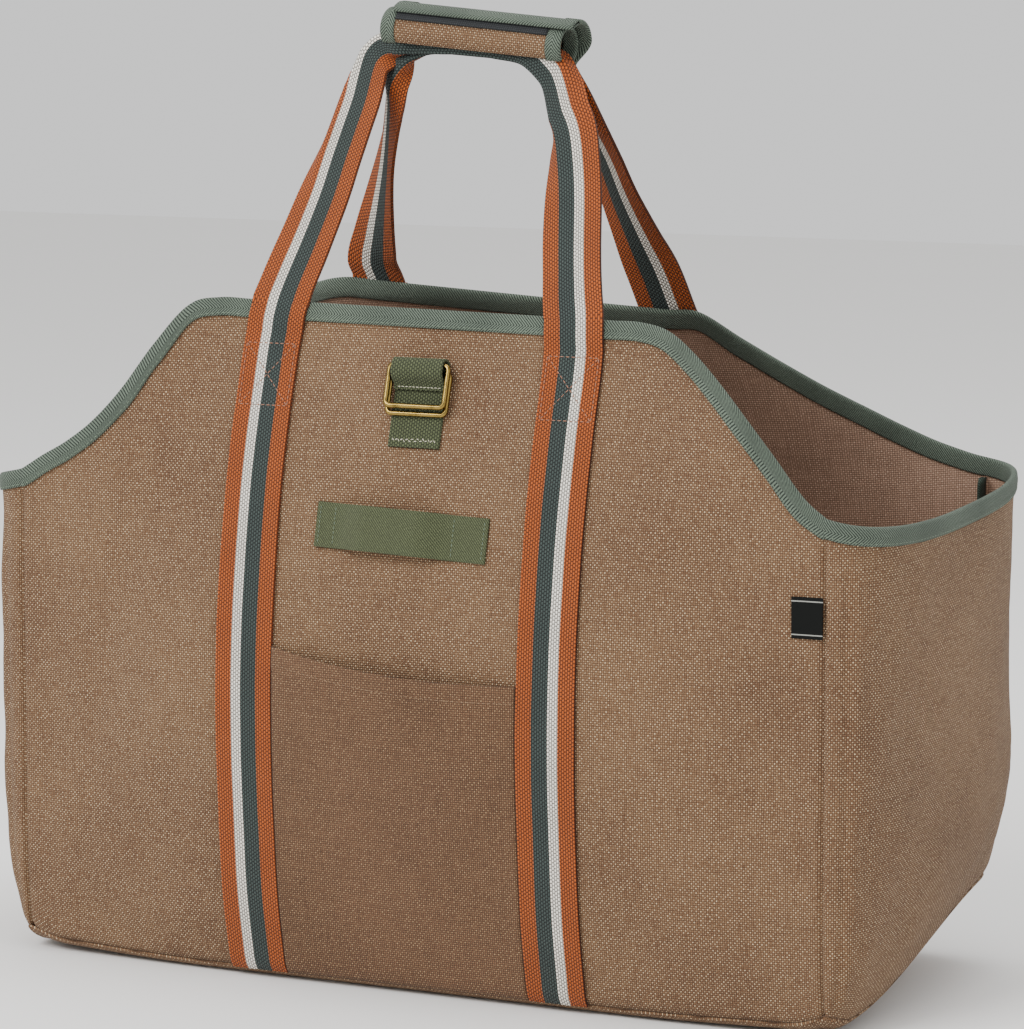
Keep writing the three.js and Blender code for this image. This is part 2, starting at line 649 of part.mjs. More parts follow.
// Colours, roughness and metalness of each finish
const finishes = {
  canvas: { color: 0x8f7257, roughness: 0.9, metalness: 0 },
  tape: { color: 0x66786a, roughness: 0.8, metalness: 0 },
  darkTape: { color: 0x2f3d34, roughness: 0.85, metalness: 0 },
  striped: { color: 0xc0622f, roughness: 0.8, metalness: 0 },
  olive: { color: 0x525c43, roughness: 0.85, metalness: 0 },
  hook: { color: 0x1f2226, roughness: 0.9, metalness: 0 },
  brass: { color: 0xa8904f, roughness: 0.3, metalness: 1 },
  label: { color: 0x1c1e1c, roughness: 0.7, metalness: 0 },
};

function piece(name, geometry, finish) {
  const mesh = new THREE.Mesh(geometry, new THREE.MeshStandardMaterial(finishes[finish]));
  mesh.name = name;
  return mesh;
}

// A group that lies on the front at a place, turned with the canvas there.
function onFront(x, height) {
  const { place, normal } = wallFrame(-1, x, height);
  const group = new THREE.Group();
  group.position.copy(place);
  group.quaternion.setFromUnitVectors(new THREE.Vector3(0, -1, 0), normal);
  return group;
}

const bag = new THREE.Group();
bag.add(
  piece('base_panel', baseTray(), 'canvas'),
  piece('front_panel', wallPanel(-1), 'canvas'),
  piece('back_panel', wallPanel(1), 'canvas'),
  piece('end_panel_left', endPanel(-1), 'canvas'),
  piece('end_panel_right', endPanel(1), 'canvas'),
  piece('rim_binding', rimBinding(), 'tape'),
  piece('front_handle_webbing', handleWebbing(-1), 'striped'),
  piece('back_handle_webbing', handleWebbing(1), 'striped'),
  piece('pocket_panel', pocketPanel(), 'canvas'),
);
[['front', -1], ['back', 1]].forEach(([depthName, sideY]) => {
  [['left', -1], ['right', 1]].forEach(([sideName, sideX]) => {
    bag.add(piece(`seam_binding_${depthName}_${sideName}`, seamBinding(sideX, sideY), 'darkTape'));
  });
});

const wrap = new THREE.Group();
const wrapParts = wrapPieces();
wrap.position.set(GRIP_SHIFT, -GRIP_FORWARD, GRIP_HEIGHT);
wrap.rotation.y = GRIP_TILT;
wrap.add(
  piece('wrap_canvas', wrapParts.canvas, 'canvas'),
  piece('wrap_end_binding_left', wrapParts.left, 'tape'),
  piece('wrap_end_binding_right', wrapParts.right, 'tape'),
  piece('wrap_edge_binding', wrapParts.edge, 'tape'),
  piece('wrap_hook_tape', wrapParts.hook, 'hook'),
);

const ringSet = onFront(RING_X, RING_LOOP_TOP - RING_LOOP_LENGTH / 2);
const ringPlane = new THREE.Group();
ringPlane.position.z = RING_LOOP_LENGTH / 2;
const frontRing = piece('rect_ring_front', ringGeometry(), 'brass');
frontRing.position.set(0, frontBarY, frontBarZ);
const rearRing = piece('rect_ring_rear', ringGeometry(), 'brass');
rearRing.position.set(0, rearBarY, frontBarZ - RING_DROP);
ringPlane.add(piece('ring_loop_webbing', ringLoop(), 'olive'), frontRing, rearRing);
ringSet.add(ringPlane);

const toolSet = onFront(TOOL_LOOP_X, TOOL_LOOP_HEIGHT);
const toolStrap = piece('tool_loop', toolLoop(), 'olive');
toolStrap.rotation.y = TOOL_LOOP_TILT;
toolSet.add(toolStrap);

const tagSet = onFront(SEAM_X - GAP - TAG_WIDTH / 2, TAG_MIDDLE);
const tag = piece('side_tag', new THREE.BoxGeometry(TAG_WIDTH, TAG_THICKNESS, TAG_HEIGHT), 'label');
tag.position.y = -GAP - TAG_THICKNESS / 2;
tagSet.add(tag);

bag.add(wrap, ringSet, toolSet, tagSet);

export default bag;
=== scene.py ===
# Canvas log carrier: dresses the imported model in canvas, webbing, tape and brass.
# Sizes are in millimetres until a mesh is made. +Z up, the front faces -Y.
import math

import bmesh
import bpy
import numpy as np
from mathutils import Matrix, Vector


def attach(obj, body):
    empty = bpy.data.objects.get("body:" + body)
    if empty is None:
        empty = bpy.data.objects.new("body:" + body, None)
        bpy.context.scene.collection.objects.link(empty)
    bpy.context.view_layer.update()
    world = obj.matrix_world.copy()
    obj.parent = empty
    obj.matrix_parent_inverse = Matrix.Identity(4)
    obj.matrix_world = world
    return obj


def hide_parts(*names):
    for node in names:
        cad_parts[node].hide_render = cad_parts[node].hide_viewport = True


bl_info = {
    "name": "Canvas log carrier",
    "version": (1, 0, 0),
    "blender": (4, 5, 0),
    "location": "3D View > Sidebar > Log carrier",
    "description": "Canvas, webbing, tape and brass for the packed log carrier",
    "category": "Object",
}

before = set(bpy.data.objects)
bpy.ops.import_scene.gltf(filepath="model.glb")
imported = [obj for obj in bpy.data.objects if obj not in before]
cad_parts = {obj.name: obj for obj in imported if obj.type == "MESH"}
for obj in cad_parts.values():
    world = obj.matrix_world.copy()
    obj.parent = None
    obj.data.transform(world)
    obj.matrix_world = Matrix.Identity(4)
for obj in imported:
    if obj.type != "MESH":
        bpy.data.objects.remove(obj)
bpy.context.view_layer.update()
MM = 0.001

# Clearance between neighbouring pieces, and thickness of each cloth
GAP = 0.3
CANVAS = 1.6
TAPE = 1.0
WEBBING = 2.0
OLIVE = 1.6

# Bag body
SEAM_X = 267.0
END_BULGE = 36.0
CORNER_POWER = 0.76
HALF_DEPTH = 128.0
CENTRE_RIM = 406.0
END_RIM = 296.0
END_RIM_SAG = 5.0
RIM_CORNER_RISE = 4.0
RIM_CORNER_REACH = 14.0
RIM_TILT = {-1: 0.015, 1: 0.055}
BASE_RADIUS = 14.0
BASE_LIP = 6.0
BINDING_WIDTH = 9.0
LIFT_START = (150.0, -128.0)
LIFT_FADE = 160.0

# Handles
STRAP_X = 100.5
STRAP_WIDTH = 38.0
STRIPE_STARTS = (0.0, 0.28, 0.45, 0.725)
GRIP_TILT = 0.085
GRIP_CENTRE = Vector((4.0, -40.0, 567.0))

# Wrap over the grip
WRAP_LENGTH = 120.0
WRAP_HALF = (12.0, 11.0)
WRAP_BAND = 2.0
WRAP_BINDING = 3.0
WRAP_BINDING_WIDTH = 9.0
WRAP_START = 225.0
WRAP_FOLD = -45.0
FLAP_END = 98.0
FLAP_SHIFT = 7.0
LAYER_STEP = WRAP_BINDING + 4 * GAP

# Rings, tool loop, pocket, tag and inner seam bindings
RING_X = 4.0
RING_LOOP_TOP = 380.0
RING_LOOP_LENGTH = 53.0
RING_LOOP_WIDTH = 34.0
RING_FLAP = 16.0
RING_SIZE = (42.0, 28.0)
RING_WIRE = 3.2
RING_CORNER = 3.0
RING_DROP = 4.0
TOOL_LOOP_AT = (1.0, 279.0)
TOOL_LOOP_TILT = 0.035
TOOL_LOOP_SIZE = (114.0, 27.0)
TOOL_LOOP_PROUD = 6.5
TOOL_LOOP_ENDS = (12.0, 22.0)
POCKET_TOP = 207.0
POCKET_SAG = 5.0
POCKET_DROP = 12.0
POCKET_GAPE = 8.0
TAG_SIZE = (19.0, 24.0)
TAG_MIDDLE = 245.0
TAG_LINE_AT = 9.6
SEAM_BINDING_DEPTH = 10.0

# Camera, fitted to the photograph: degrees, metres, and its focal length as a share of the frame
CAMERA_AZIMUTH = 26.6
CAMERA_ELEVATION = 7.4
CAMERA_DISTANCE = 2.775
CAMERA_AIM = (0.0263, -0.040, 0.2804)
CAMERA_FOCAL = 4600 / 1029
SENSOR = 36.0

# Depth of the walls as shares of HALF_DEPTH, at a share of CENTRE_RIM in height
DEPTH_PROFILE = {
    "at": (0.00, 0.15, 0.40, 0.60, 0.80, 1.00),
    "front": (0.99, 1.08, 1.13, 1.09, 0.97, 0.78),
    "back": (0.98, 1.03, 1.03, 0.91, 0.61, 0.17),
    "seam": (0.97, 1.00, 1.00, 1.00, 0.99, 0.98),
}

# Bulge of the ends as shares of END_BULGE, at a share of END_RIM in height
BULGE_PROFILE = {
    "at": (0.00, 0.15, 0.40, 0.90, 1.00),
    "bulge": (0.36, 0.76, 1.00, 1.01, 1.08),
}

# How far the rim has come down, as a share, at a share of the way from a strap to the seam
RIM_FALL = {
    "at": (0.00, 0.10, 0.21, 0.32, 0.42, 0.52, 0.62, 0.72, 0.82, 0.92, 1.00),
    "front_left": (0, 0, 0, 0, 0.045, 0.250, 0.495, 0.675, 0.800, 0.900, 1),
    "front_right": (0, 0, 0, 0, 0.035, 0.140, 0.285, 0.460, 0.655, 0.870, 1),
    "back_left": (0, 0, 0, 0.040, 0.100, 0.250, 0.450, 0.640, 0.800, 0.920, 1),
    "back_right": (0, 0, 0, 0.150, 0.300, 0.450, 0.585, 0.715, 0.830, 0.925, 1),
}

# How far the soft bag is lifted at its corners: side in X, side in Y, base off the floor, rim
CORNER_LIFTS = ((-1, -1, 4.0, 0.0), (1, -1, 3.0, 0.0), (1, 1, 54.0, 10.0), (-1, 1, 20.0, 0.0))

# The front corners round up off the floor: where that starts, how much and up to what height
FOOT_START = (246.0, 104.0)
FOOT_LIFT = 7.0
FOOT_FADE = 46.0

# Soft waves in the canvas: length of a wave, its direction in degrees, height and phase
WAVES = (
    (210.0, 12.0, 0.75, 0.4),
    (148.0, 78.0, 0.60, 1.9),
    (97.0, -35.0, 0.45, 4.1),
    (61.0, 52.0, 0.28, 2.6),
    (37.0, -68.0, 0.13, 5.3),
    (23.0, 24.0, 0.07, 0.9),
)

# Depth of the groove along the corner seams
SEAM_GROOVE = 2.0

# Lasting creases of the front: where, its direction in degrees, length, width and height
CREASES = (
    (-200.0, 205.0, 78.0, 120.0, 16.0, -1.6),
    (-175.0, 120.0, 62.0, 90.0, 14.0, 1.2),
    (-232.0, 90.0, 84.0, 100.0, 12.0, 1.0),
    (60.0, 90.0, 20.0, 90.0, 16.0, -1.0),
    (200.0, 130.0, 70.0, 110.0, 18.0, 1.1),
    (170.0, 250.0, 55.0, 80.0, 16.0, -1.0),
    (0.0, 330.0, 8.0, 60.0, 12.0, 0.8),
)

# Each leg of the handles from above the rim to the middle of the grip: height and place in X of
# its middle, then in degrees its roll (inner edge to the front) and how far its outer and inner
# edges are folded behind, and as a share of the width how much further in the outer fold lies.
# Keyed by side in Y (front -1) and side in X (left -1).
LEGS = {
    (-1, -1): {
        "z": (420, 445, 470, 493, 510, 528, 540, 551, 560.0, 566.0, 566.5),
        "x": (-95.6, -89.2, -83.2, -77.6, -73.3, -68.8, -65.5, -61.5, -54.0, -40.0, -12.0),
        "roll": (5, 9, 11, 12, 13, 14, 14, 12, 6, 0, 0),
        "outer": (0, 0, 8, 42, 62, 84, 104, 130, 160, 174, 174),
        "inner": (0, 0, 0, 0, 0, 0, 0, 0, 60, 168, 168),
        "shift": (0, 0, 0, 0, 0, 0, 0.07, 0.14, 0.16, 0, 0),
    },
    (-1, 1): {
        "z": (420, 434, 451, 473, 496, 513, 526, 539, 550.5, 560.5, 564.5),
        "x": (94.0, 90.8, 87.2, 83.4, 79.6, 76.0, 71.0, 63.0, 52.5, 38.0, 16.0),
        "roll": (0, 0, 0, 0, 0, 0, 0, 0, 0, 0, 0),
        "outer": (0, 0, 0, 0, 0, 10, 25, 60, 110, 155, 174),
        "inner": (0, 0, 0, 10, 38, 64, 98, 135, 160, 168, 168),
    },
    (1, -1): {
        "z": (424, 439, 465, 490, 509, 528, 540, 551, 560.0, 565.5, 566.5),
        "x": (-99.5, -94.4, -84.0, -73.7, -66.2, -59.0, -54.9, -50.0, -43.0, -32.0, -12.0),
        "roll": (4, 16, 33, 43, 47, 50, 46, 32, 16, 4, 0),
        "outer": (0, 0, 0, 10, 25, 50, 80, 120, 160, 174, 174),
        "inner": (0, 0, 0, 0, 10, 35, 70, 110, 155, 168, 168),
    },
    (1, 1): {
        "z": (424, 445, 470, 494, 512, 530, 542, 551, 558.0, 563.0, 564.5),
        "x": (93.5, 87.6, 81.0, 76.0, 71.5, 66.0, 60.5, 53.0, 43.0, 30.0, 14.0),
        "roll": (-4, -19, -29, -35, -38, -34, -25, -14, -6, 0, 0),
        "outer": (0, 0, 0, 0, 10, 30, 60, 100, 150, 174, 174),
        "inner": (0, 0, 0, 0, 15, 50, 90, 130, 160, 168, 168),
    },
}
GRIP_DEPTH = 2.8
GRIP_REACHED = 545.0

# Near the rim the straps lean in so much, over so long a stretch on both sides of it
LEG_LEAN = 2.6
LEG_STRAIGHT = 34.0

STRAP_IN = STRAP_X - STRAP_WIDTH / 2
STRAP_OUT = STRAP_X + STRAP_WIDTH / 2


# Shape of the bag


def ease(share):
    share = np.clip(share, 0.0, 1.0)
    return share * share * (3 - 2 * share)


def ramp(value, start, end):
    return ease((value - start) / (end - start))


def through(keys, values, at):
    """A smooth curve through values at keys; a value may be a number or a point."""
    keys, values, at = np.asarray(keys, float), np.asarray(values, float), np.asarray(at, float)
    values = values.reshape(len(keys), -1)
    step, rise = np.diff(keys), np.diff(values, axis=0)
    slope = np.empty_like(values)
    slope[1:-1] = (values[2:] - values[:-2]) / (keys[2:] - keys[:-2])[:, None]
    slope[0], slope[-1] = rise[0] / step[0], rise[-1] / step[-1]
    i = np.clip(np.searchsorted(keys, at, side="right") - 1, 0, len(keys) - 2)
    t = np.clip((at - keys[i]) / step[i], 0.0, 1.0)[..., None]
    wide = step[i][..., None]
    made = (values[i] * (2 * t**3 - 3 * t**2 + 1) + values[i + 1] * (3 * t**2 - 2 * t**3)
            + slope[i] * wide * (t**3 - 2 * t**2 + t) + slope[i + 1] * wide * (t**3 - t**2))
    return made[..., 0] if made.shape[-1] == 1 else made


def tuck(z):
    """How far the wall draws in where it rounds under to the base."""
    rise = np.clip(BASE_RADIUS - z, 0.0, BASE_RADIUS)
    return BASE_RADIUS - np.sqrt(BASE_RADIUS**2 - rise**2)


def wall_depth(side, x, z):
    share = z / CENTRE_RIM
    centre = through(DEPTH_PROFILE["at"], DEPTH_PROFILE["front" if side < 0 else "back"], share)
    seam = through(DEPTH_PROFILE["at"], DEPTH_PROFILE["seam"], share)
    return HALF_DEPTH * (centre + (seam - centre) * ramp(np.abs(x), STRAP_OUT, SEAM_X)) - tuck(z)


def rim_corner(distance):
    """The rim rounds through each corner instead of turning sharply."""
    return RIM_CORNER_RISE * np.exp(-distance / RIM_CORNER_REACH)


def rim_height(side, x):
    x = np.asarray(x, float)
    share = np.clip((np.abs(x) - STRAP_IN) / (SEAM_X - STRAP_IN), 0.0, 1.0)
    part = "front" if side < 0 else "back"
    left = through(RIM_FALL["at"], RIM_FALL[part + "_left"], share)
    right = through(RIM_FALL["at"], RIM_FALL[part + "_right"], share)
    upper = CENTRE_RIM - RIM_TILT[side] * x
    return upper + (END_RIM - upper) * np.where(x < 0, left, right) + rim_corner(SEAM_X - np.abs(x))


def rim_slope(side, x):
    return rim_height(side, x + 0.5) - rim_height(side, x - 0.5)


def lifted(x, y, z):
    x, y, z = np.broadcast_arrays(x, y, z)
    base_share, rim_share = 1 - ease(z / LIFT_FADE), ramp(z, LIFT_FADE, END_RIM)
    lift = 0.0
    for side_x, side_y, base, rim in CORNER_LIFTS:
        reach = ramp(x * side_x, LIFT_START[0], SEAM_X + END_BULGE)
        reach = reach * ramp(y * side_y, LIFT_START[1], HALF_DEPTH)
        lift = lift + (base * base_share + rim * rim_share) * reach
    foot = ramp(np.abs(x), FOOT_START[0], SEAM_X + 6) * ramp(-y, FOOT_START[1], HALF_DEPTH)
    lift = lift + FOOT_LIFT * foot * (1 - ease(z / FOOT_FADE))
    return np.stack([x, y, z + lift], -1)


def facing(place, a, b, step, away):
    """Outward direction of a surface place(a, b), from two short steps along it."""
    across = place(a + step, b) - place(a - step, b)
    along = place(a, b + 0.5) - place(a, b - 0.5)
    normal = np.cross(across, along)
    normal /= np.linalg.norm(normal, axis=-1, keepdims=True)
    return normal * np.sign(np.sum(normal * away, axis=-1, keepdims=True))


def waves(a, b, seed):
    """Soft waves of worn canvas, the same on every run."""
    total = 0.0
    for length, turn, height, phase in WAVES:
        angle = math.radians(turn + 31.0 * seed)
        run = a * math.cos(angle) + b * math.sin(angle)
        total = total + height * np.sin(2 * math.pi * run / length + phase + 1.7 * seed
                                        + 0.8 * np.sin((a - b) / (length * 0.9) + seed))
    return total


def seam_groove(distance, below_rim):
    """The canvas dips where it is turned in at a corner seam."""
    return -SEAM_GROOVE * np.exp(-(distance / 1.9) ** 2) * ramp(below_rim, 8.0, 15.0)


def creases(side, x, z):
    """How far the worn canvas of the front or back stands out of its plain shape."""
    quiet = 1 - ramp(np.abs(x), SEAM_X - 34, SEAM_X - 2)
    rim = rim_height(side, x)
    quiet = quiet * ramp(z, 4, 40) * (1 - 0.8 * ramp(z, rim - 40, rim - 8))
    quiet = quiet * (0.35 + 0.65 * ramp(np.abs(x), STRAP_OUT + 4, STRAP_OUT + 45))
    total = waves(x, z, 0 if side < 0 else 2)
    if side < 0:
        for at_x, at_z, turn, length, width, height in CREASES:
            angle = math.radians(turn)
            run = (x - at_x) * math.cos(angle) + (z - at_z) * math.sin(angle)
            off = (z - at_z) * math.cos(angle) - (x - at_x) * math.sin(angle)
            total = total + height * np.exp(-(run / length) ** 2 - (off / width) ** 2)
    return total * quiet + seam_groove(SEAM_X - np.abs(x), rim - z)


def plain_wall(side, x, z):
    return lifted(x, side * wall_depth(side, x, z), z)


def wall_normal(side, x, z):
    """Outward direction of the front (side -1) or back (side 1)."""
    x, z = np.broadcast_arrays(np.asarray(x, float), np.asarray(z, float))
    return facing(lambda a, b: plain_wall(side, a, b), x, z, 0.5, np.array((0.0, side, 0.0)))


def on_wall(side, x, z, out=0.0):
    """Points so far outside the canvas of the front (side -1) or back (side 1)."""
    x, z = np.broadcast_arrays(np.asarray(x, float), np.asarray(z, float))
    return plain_wall(side, x, z) + wall_normal(side, x, z) * (out + creases(side, x, z))[..., None]


def from_seam(angle):
    """Rough distance along an end from its nearer corner seam."""
    turn = np.radians(angle)
    proud = END_BULGE * np.clip(np.cos(turn), 0.0, 1.0) ** CORNER_POWER
    return proud + HALF_DEPTH * (1 - np.abs(np.sin(turn)) ** CORNER_POWER)


def end_rim(angle):
    return END_RIM - END_RIM_SAG * np.cos(np.radians(angle)) ** 2 + rim_corner(from_seam(angle))


def end_creases(side, angle, z):
    """Waves of an end, with the pressed edge that runs beside each corner seam."""
    turned, below = np.abs(angle), end_rim(angle) - z
    quiet = (1 - ramp(turned, 62, 88)) * ramp(z, 4, 40) * (1 - 0.8 * ramp(z, END_RIM - 40, END_RIM - 10))
    soft = waves(angle * 2.2, z, 1 if side < 0 else 3) * quiet
    pressed = 0.6 * np.exp(-((turned - 67) / 4) ** 2) - 1.1 * np.exp(-((turned - 75) / 3.5) ** 2)
    pressed = pressed * ramp(below, 8, 40) * ramp(z, 4, 20)
    return soft + pressed + seam_groove(from_seam(angle), below)


def on_end(side, angle, z, out=0.0):
    """Points so far outside the canvas of the right (side 1) or left (side -1) end."""
    angle, z = np.broadcast_arrays(np.asarray(angle, float), np.asarray(z, float))

    def place(a, b):
        turn = np.radians(a)
        across = np.sign(turn) * np.abs(np.sin(turn)) ** CORNER_POWER
        proud = np.clip(np.cos(turn), 0.0, 1.0) ** CORNER_POWER
        bulge = END_BULGE * through(BULGE_PROFILE["at"], BULGE_PROFILE["bulge"], b / END_RIM) - tuck(b)
        return lifted(side * (SEAM_X + bulge * proud), across * wall_depth(1, SEAM_X, b), b)

    away = np.stack([side * (0.3 + np.cos(np.radians(angle))), np.sin(np.radians(angle)), 0 * angle], -1)
    normal = facing(place, np.clip(angle, -89, 89), z, 1.0, away)
    return place(angle, z) + normal * (out + end_creases(side, angle, z))[..., None]


# The way round the bag: front from left to right, right end, back, left end, as shares
LAP_WALL = 2 * SEAM_X
LAP_END = 316.0
LAP_LENGTH = 2 * (LAP_WALL + LAP_END)
LAPS = (
    ("wall", -1, 0.0, LAP_WALL / LAP_LENGTH),
    ("end", 1, LAP_WALL / LAP_LENGTH, 0.5),
    ("wall", 1, 0.5, 0.5 + LAP_WALL / LAP_LENGTH),
    ("end", -1, 0.5 + LAP_WALL / LAP_LENGTH, 1.0),
)


def lap_parts(share):
    """For each stretch of the lap: which points are in it, its kind, side and place along it."""
    for kind, side, start, end in LAPS:
        chosen = (share >= start - 1e-9) & (share <= end + 1e-9)
        t = np.clip((share[chosen] - start) / (end - start), 0.0, 1.0) * 2 - 1
        if kind == "wall":
            yield chosen, kind, side, -side * t * (SEAM_X - 0.01)
        else:
            yield chosen, kind, side, side * 90 * np.sin(t * math.pi / 2)


def lap_rim(share):
    """Rim height and slope factor at shares of the lap."""
    rim, steep = np.zeros_like(share), np.ones_like(share)
    for chosen, kind, side, value in lap_parts(share):
        if kind == "wall":
            rim[chosen] = rim_height(side, value)
            steep[chosen] = np.hypot(1.0, rim_slope(side, value))
        else:
            rim[chosen] = end_rim(value)
    return rim, steep


def rounded(ring):
    """A closed ring of points, evened out over its neighbours so that it can't fold at a corner."""
    once = ring[:-1]
    once = sum(np.roll(once, k, axis=0) for k in range(-2, 3)) / 5
    return np.concatenate([once, once[:1]])


def on_lap(share, z, out):
    points = np.zeros(share.shape + (3,))
    z, out = np.broadcast_to(z, share.shape), np.broadcast_to(out, share.shape)
    for chosen, kind, side, value in lap_parts(share):
        place = on_wall if kind == "wall" else on_end
        points[chosen] = place(side, value, z[chosen], out[chosen])
    return points


# Meshes


def new_object(name, mesh, material):
    piece = bpy.data.objects.new(name, mesh)
    bpy.context.scene.collection.objects.link(piece)
    piece.data.materials.append(material)
    return piece


def cloth(name, points, lay, away, material, closed=False):
    """A grid of cloth: points in space and lay on the flat cloth, both [row, column] in millimetres.

    away is the rough outward direction near the first cells; closed joins edges that meet."""
    rows, columns = points.shape[:2]
    made = bmesh.new()
    bmesh.ops.create_grid(made, x_segments=columns - 1, y_segments=rows - 1, size=0.5)
    mesh = bpy.data.meshes.new(name)
    made.to_mesh(mesh)
    flat = np.empty(len(mesh.vertices) * 3)
    mesh.vertices.foreach_get("co", flat)
    grid = flat.reshape(-1, 3) + 0.5
    column = np.rint(grid[:, 0] * (columns - 1)).astype(int)
    row = np.rint(grid[:, 1] * (rows - 1)).astype(int)
    mesh.vertices.foreach_set("co", (points[row, column] * MM).ravel())
    corner = np.empty(len(mesh.loops), dtype=np.int32)
    mesh.loops.foreach_get("vertex_index", corner)
    layer = mesh.uv_layers.new(name="lay")
    layer.data.foreach_set("uv", (lay[row, column][corner] * MM).ravel())
    made.clear()
    made.from_mesh(mesh)
    i, j = rows // 8, columns // 8
    normal = np.cross(points[i, j + 1] - points[i, j], points[i + 1, j] - points[i, j])
    if np.dot(normal, away) < 0:
        bmesh.ops.reverse_faces(made, faces=made.faces)
    if closed:
        bmesh.ops.remove_doubles(made, verts=made.verts, dist=1e-5)
    made.to_mesh(mesh)
    made.free()
    mesh.shade_smooth()
    return new_object(name, mesh, material)


def thicken(piece, thickness, offset, inside=None):
    """Gives a cloth its thickness: offset -1 behind its surface, 0 to both sides."""
    solid = piece.modifiers.new("thickness", "SOLIDIFY")
    solid.thickness = thickness * MM
    solid.offset = offset
    if inside:
        piece.data.materials.append(inside)
        solid.material_offset = 1
        solid.material_offset_rim = 0


def soften(piece, width):
    """Rounds the cut edges of a strap or tape."""
    round_off = piece.modifiers.new("edges", "BEVEL")
    round_off.width = width * MM
    round_off.segments = 2
    round_off.limit_method = "ANGLE"
    round_off.angle_limit = math.radians(55)


def settle(piece, body, slot, *nodes):
    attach(piece, body)
    if nodes:
        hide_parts(*nodes)


def steps(start, end, pitch):
    """Evenly spaced values from start to end, about a pitch apart."""
    return np.linspace(start, end, max(2, int(round(abs(end - start) / pitch)) + 1))


def lengths(points):
    """Distance along a line of points."""
    return np.concatenate([[0.0], np.cumsum(np.linalg.norm(np.diff(points, axis=0), axis=1))])


def partway(run, values, at):
    """The values at a distance along a line, between its points."""
    return np.array([np.interp(at, run, values[:, i]) for i in range(3)])


def sew(name, lines, pitch, length, width, material, slot):
    """Stitches of thread along lines of (points, normals), joined in one piece."""
    made = bmesh.new()
    for points, normals in lines:
        points, normals = np.asarray(points, float), np.asarray(normals, float)
        run = lengths(points)
        count = max(1, int(run[-1] / pitch))
        for k in range(count):
            at = (k + 0.5) * run[-1] / count
            place = partway(run, points, at)
            along = Vector(partway(run, points, at + 0.5) - partway(run, points, at - 0.5)).normalized()
            up = Vector(partway(run, normals, at))
            up = (up - along * up.dot(along)).normalized()
            turn = Matrix((along, up.cross(along), up)).transposed().to_4x4()
            size = Matrix.Diagonal((length / 2 * MM, width / 2 * MM, width / 2 * MM, 1.0))
            matrix = Matrix.Translation(Vector(place) * MM) @ turn @ size
            bmesh.ops.create_uvsphere(made, u_segments=6, v_segments=4, radius=1.0,
                                      matrix=matrix @ Matrix.Rotation(math.pi / 2, 4, "Y"))
    mesh = bpy.data.meshes.new(name)
    made.to_mesh(mesh)
    made.free()
    mesh.shade_smooth()
    piece = new_object(name, mesh, material)
    settle(piece, "bag", slot)
    return piece


# Materials


MATHS = "ShaderNodeMath"
RANGE = "ShaderNodeMapRange"
NOISE = "ShaderNodeTexNoise"
MIX = "ShaderNodeMix"
BUMP = "ShaderNodeBump"


def linear(code):
    """An sRGB hex colour as linear RGBA."""
    parts = [int(code[i:i + 2], 16) / 255 for i in (1, 3, 5)]
    return [c / 12.92 if c <= 0.04045 else ((c + 0.055) / 1.055) ** 2.4 for c in parts] + [1.0]


def scaled(colour, factor):
    """A linear colour made darker or lighter, as RGBA."""
    return [min(1.0, c * factor) for c in colour[:3]] + [1.0]


def add_node(tree, kind, sockets, output=0, **settings):
    """Adds a node with its settings and links, and gives one of its outputs.

    sockets holds values or other nodes' outputs, in order or by a socket's name or number."""
    made = tree.nodes.new(kind)
    for name, value in settings.items():
        setattr(made, name, value)
    if not isinstance(sockets, dict):
        sockets = dict(enumerate(sockets))
    for name, value in sockets.items():
        if isinstance(value, bpy.types.NodeSocket):
            tree.links.new(value, made.inputs[name])
        else:
            made.inputs[name].default_value = value
    return made.outputs[output]


def new_material(name, **shader):
    """A material with its principled shader, whose sockets are given with _ for each space."""
    material = bpy.data.materials.new(name)
    material.use_nodes = True
    tree = material.node_tree
    surface = tree.nodes["Principled BSDF"]
    for socket, value in shader.items():
        surface.inputs[socket.replace("_", " ")].default_value = value
    return material, tree, surface


def finish_cloth(tree, surface, colour, height, rise):
    """Gives a cloth its colour and the relief of its threads, so high in metres."""
    relief = add_node(tree, BUMP, {"Height": height, "Distance": rise, "Strength": 1.0})
    tree.links.new(colour, surface.inputs["Base Color"])
    tree.links.new(relief, surface.inputs["Normal"])


def flat_cloth(tree):
    """Where a point lies on the flat cloth, in metres, and its two parts."""
    lay = add_node(tree, "ShaderNodeUVMap", {}, uv_map="lay")
    parts = add_node(tree, "ShaderNodeSeparateXYZ", (lay,)).node.outputs
    return lay, parts["X"], parts["Y"]


def ridges(tree, value, pitch):
    """Round ridges side by side, so many millimetres apart."""
    turn = add_node(tree, MATHS, (value, math.pi / (pitch * MM)), operation="MULTIPLY")
    wave = add_node(tree, MATHS, (turn,), operation="SINE")
    return add_node(tree, MATHS, (wave,), operation="ABSOLUTE")


def crossing(tree, x, y, across, along):
    """Height of a plain weave from the spacing of its warp and weft, and which thread is on top."""
    threads = []
    for value, pitch in ((x, across), (y, along)):
        turn = add_node(tree, MATHS, (value, math.pi / (pitch * MM)), operation="MULTIPLY")
        threads.append(add_node(tree, MATHS, (turn,), operation="SINE"))
    over = add_node(tree, MATHS, threads, operation="MULTIPLY")
    return add_node(tree, MATHS, (over,), operation="ABSOLUTE"), over


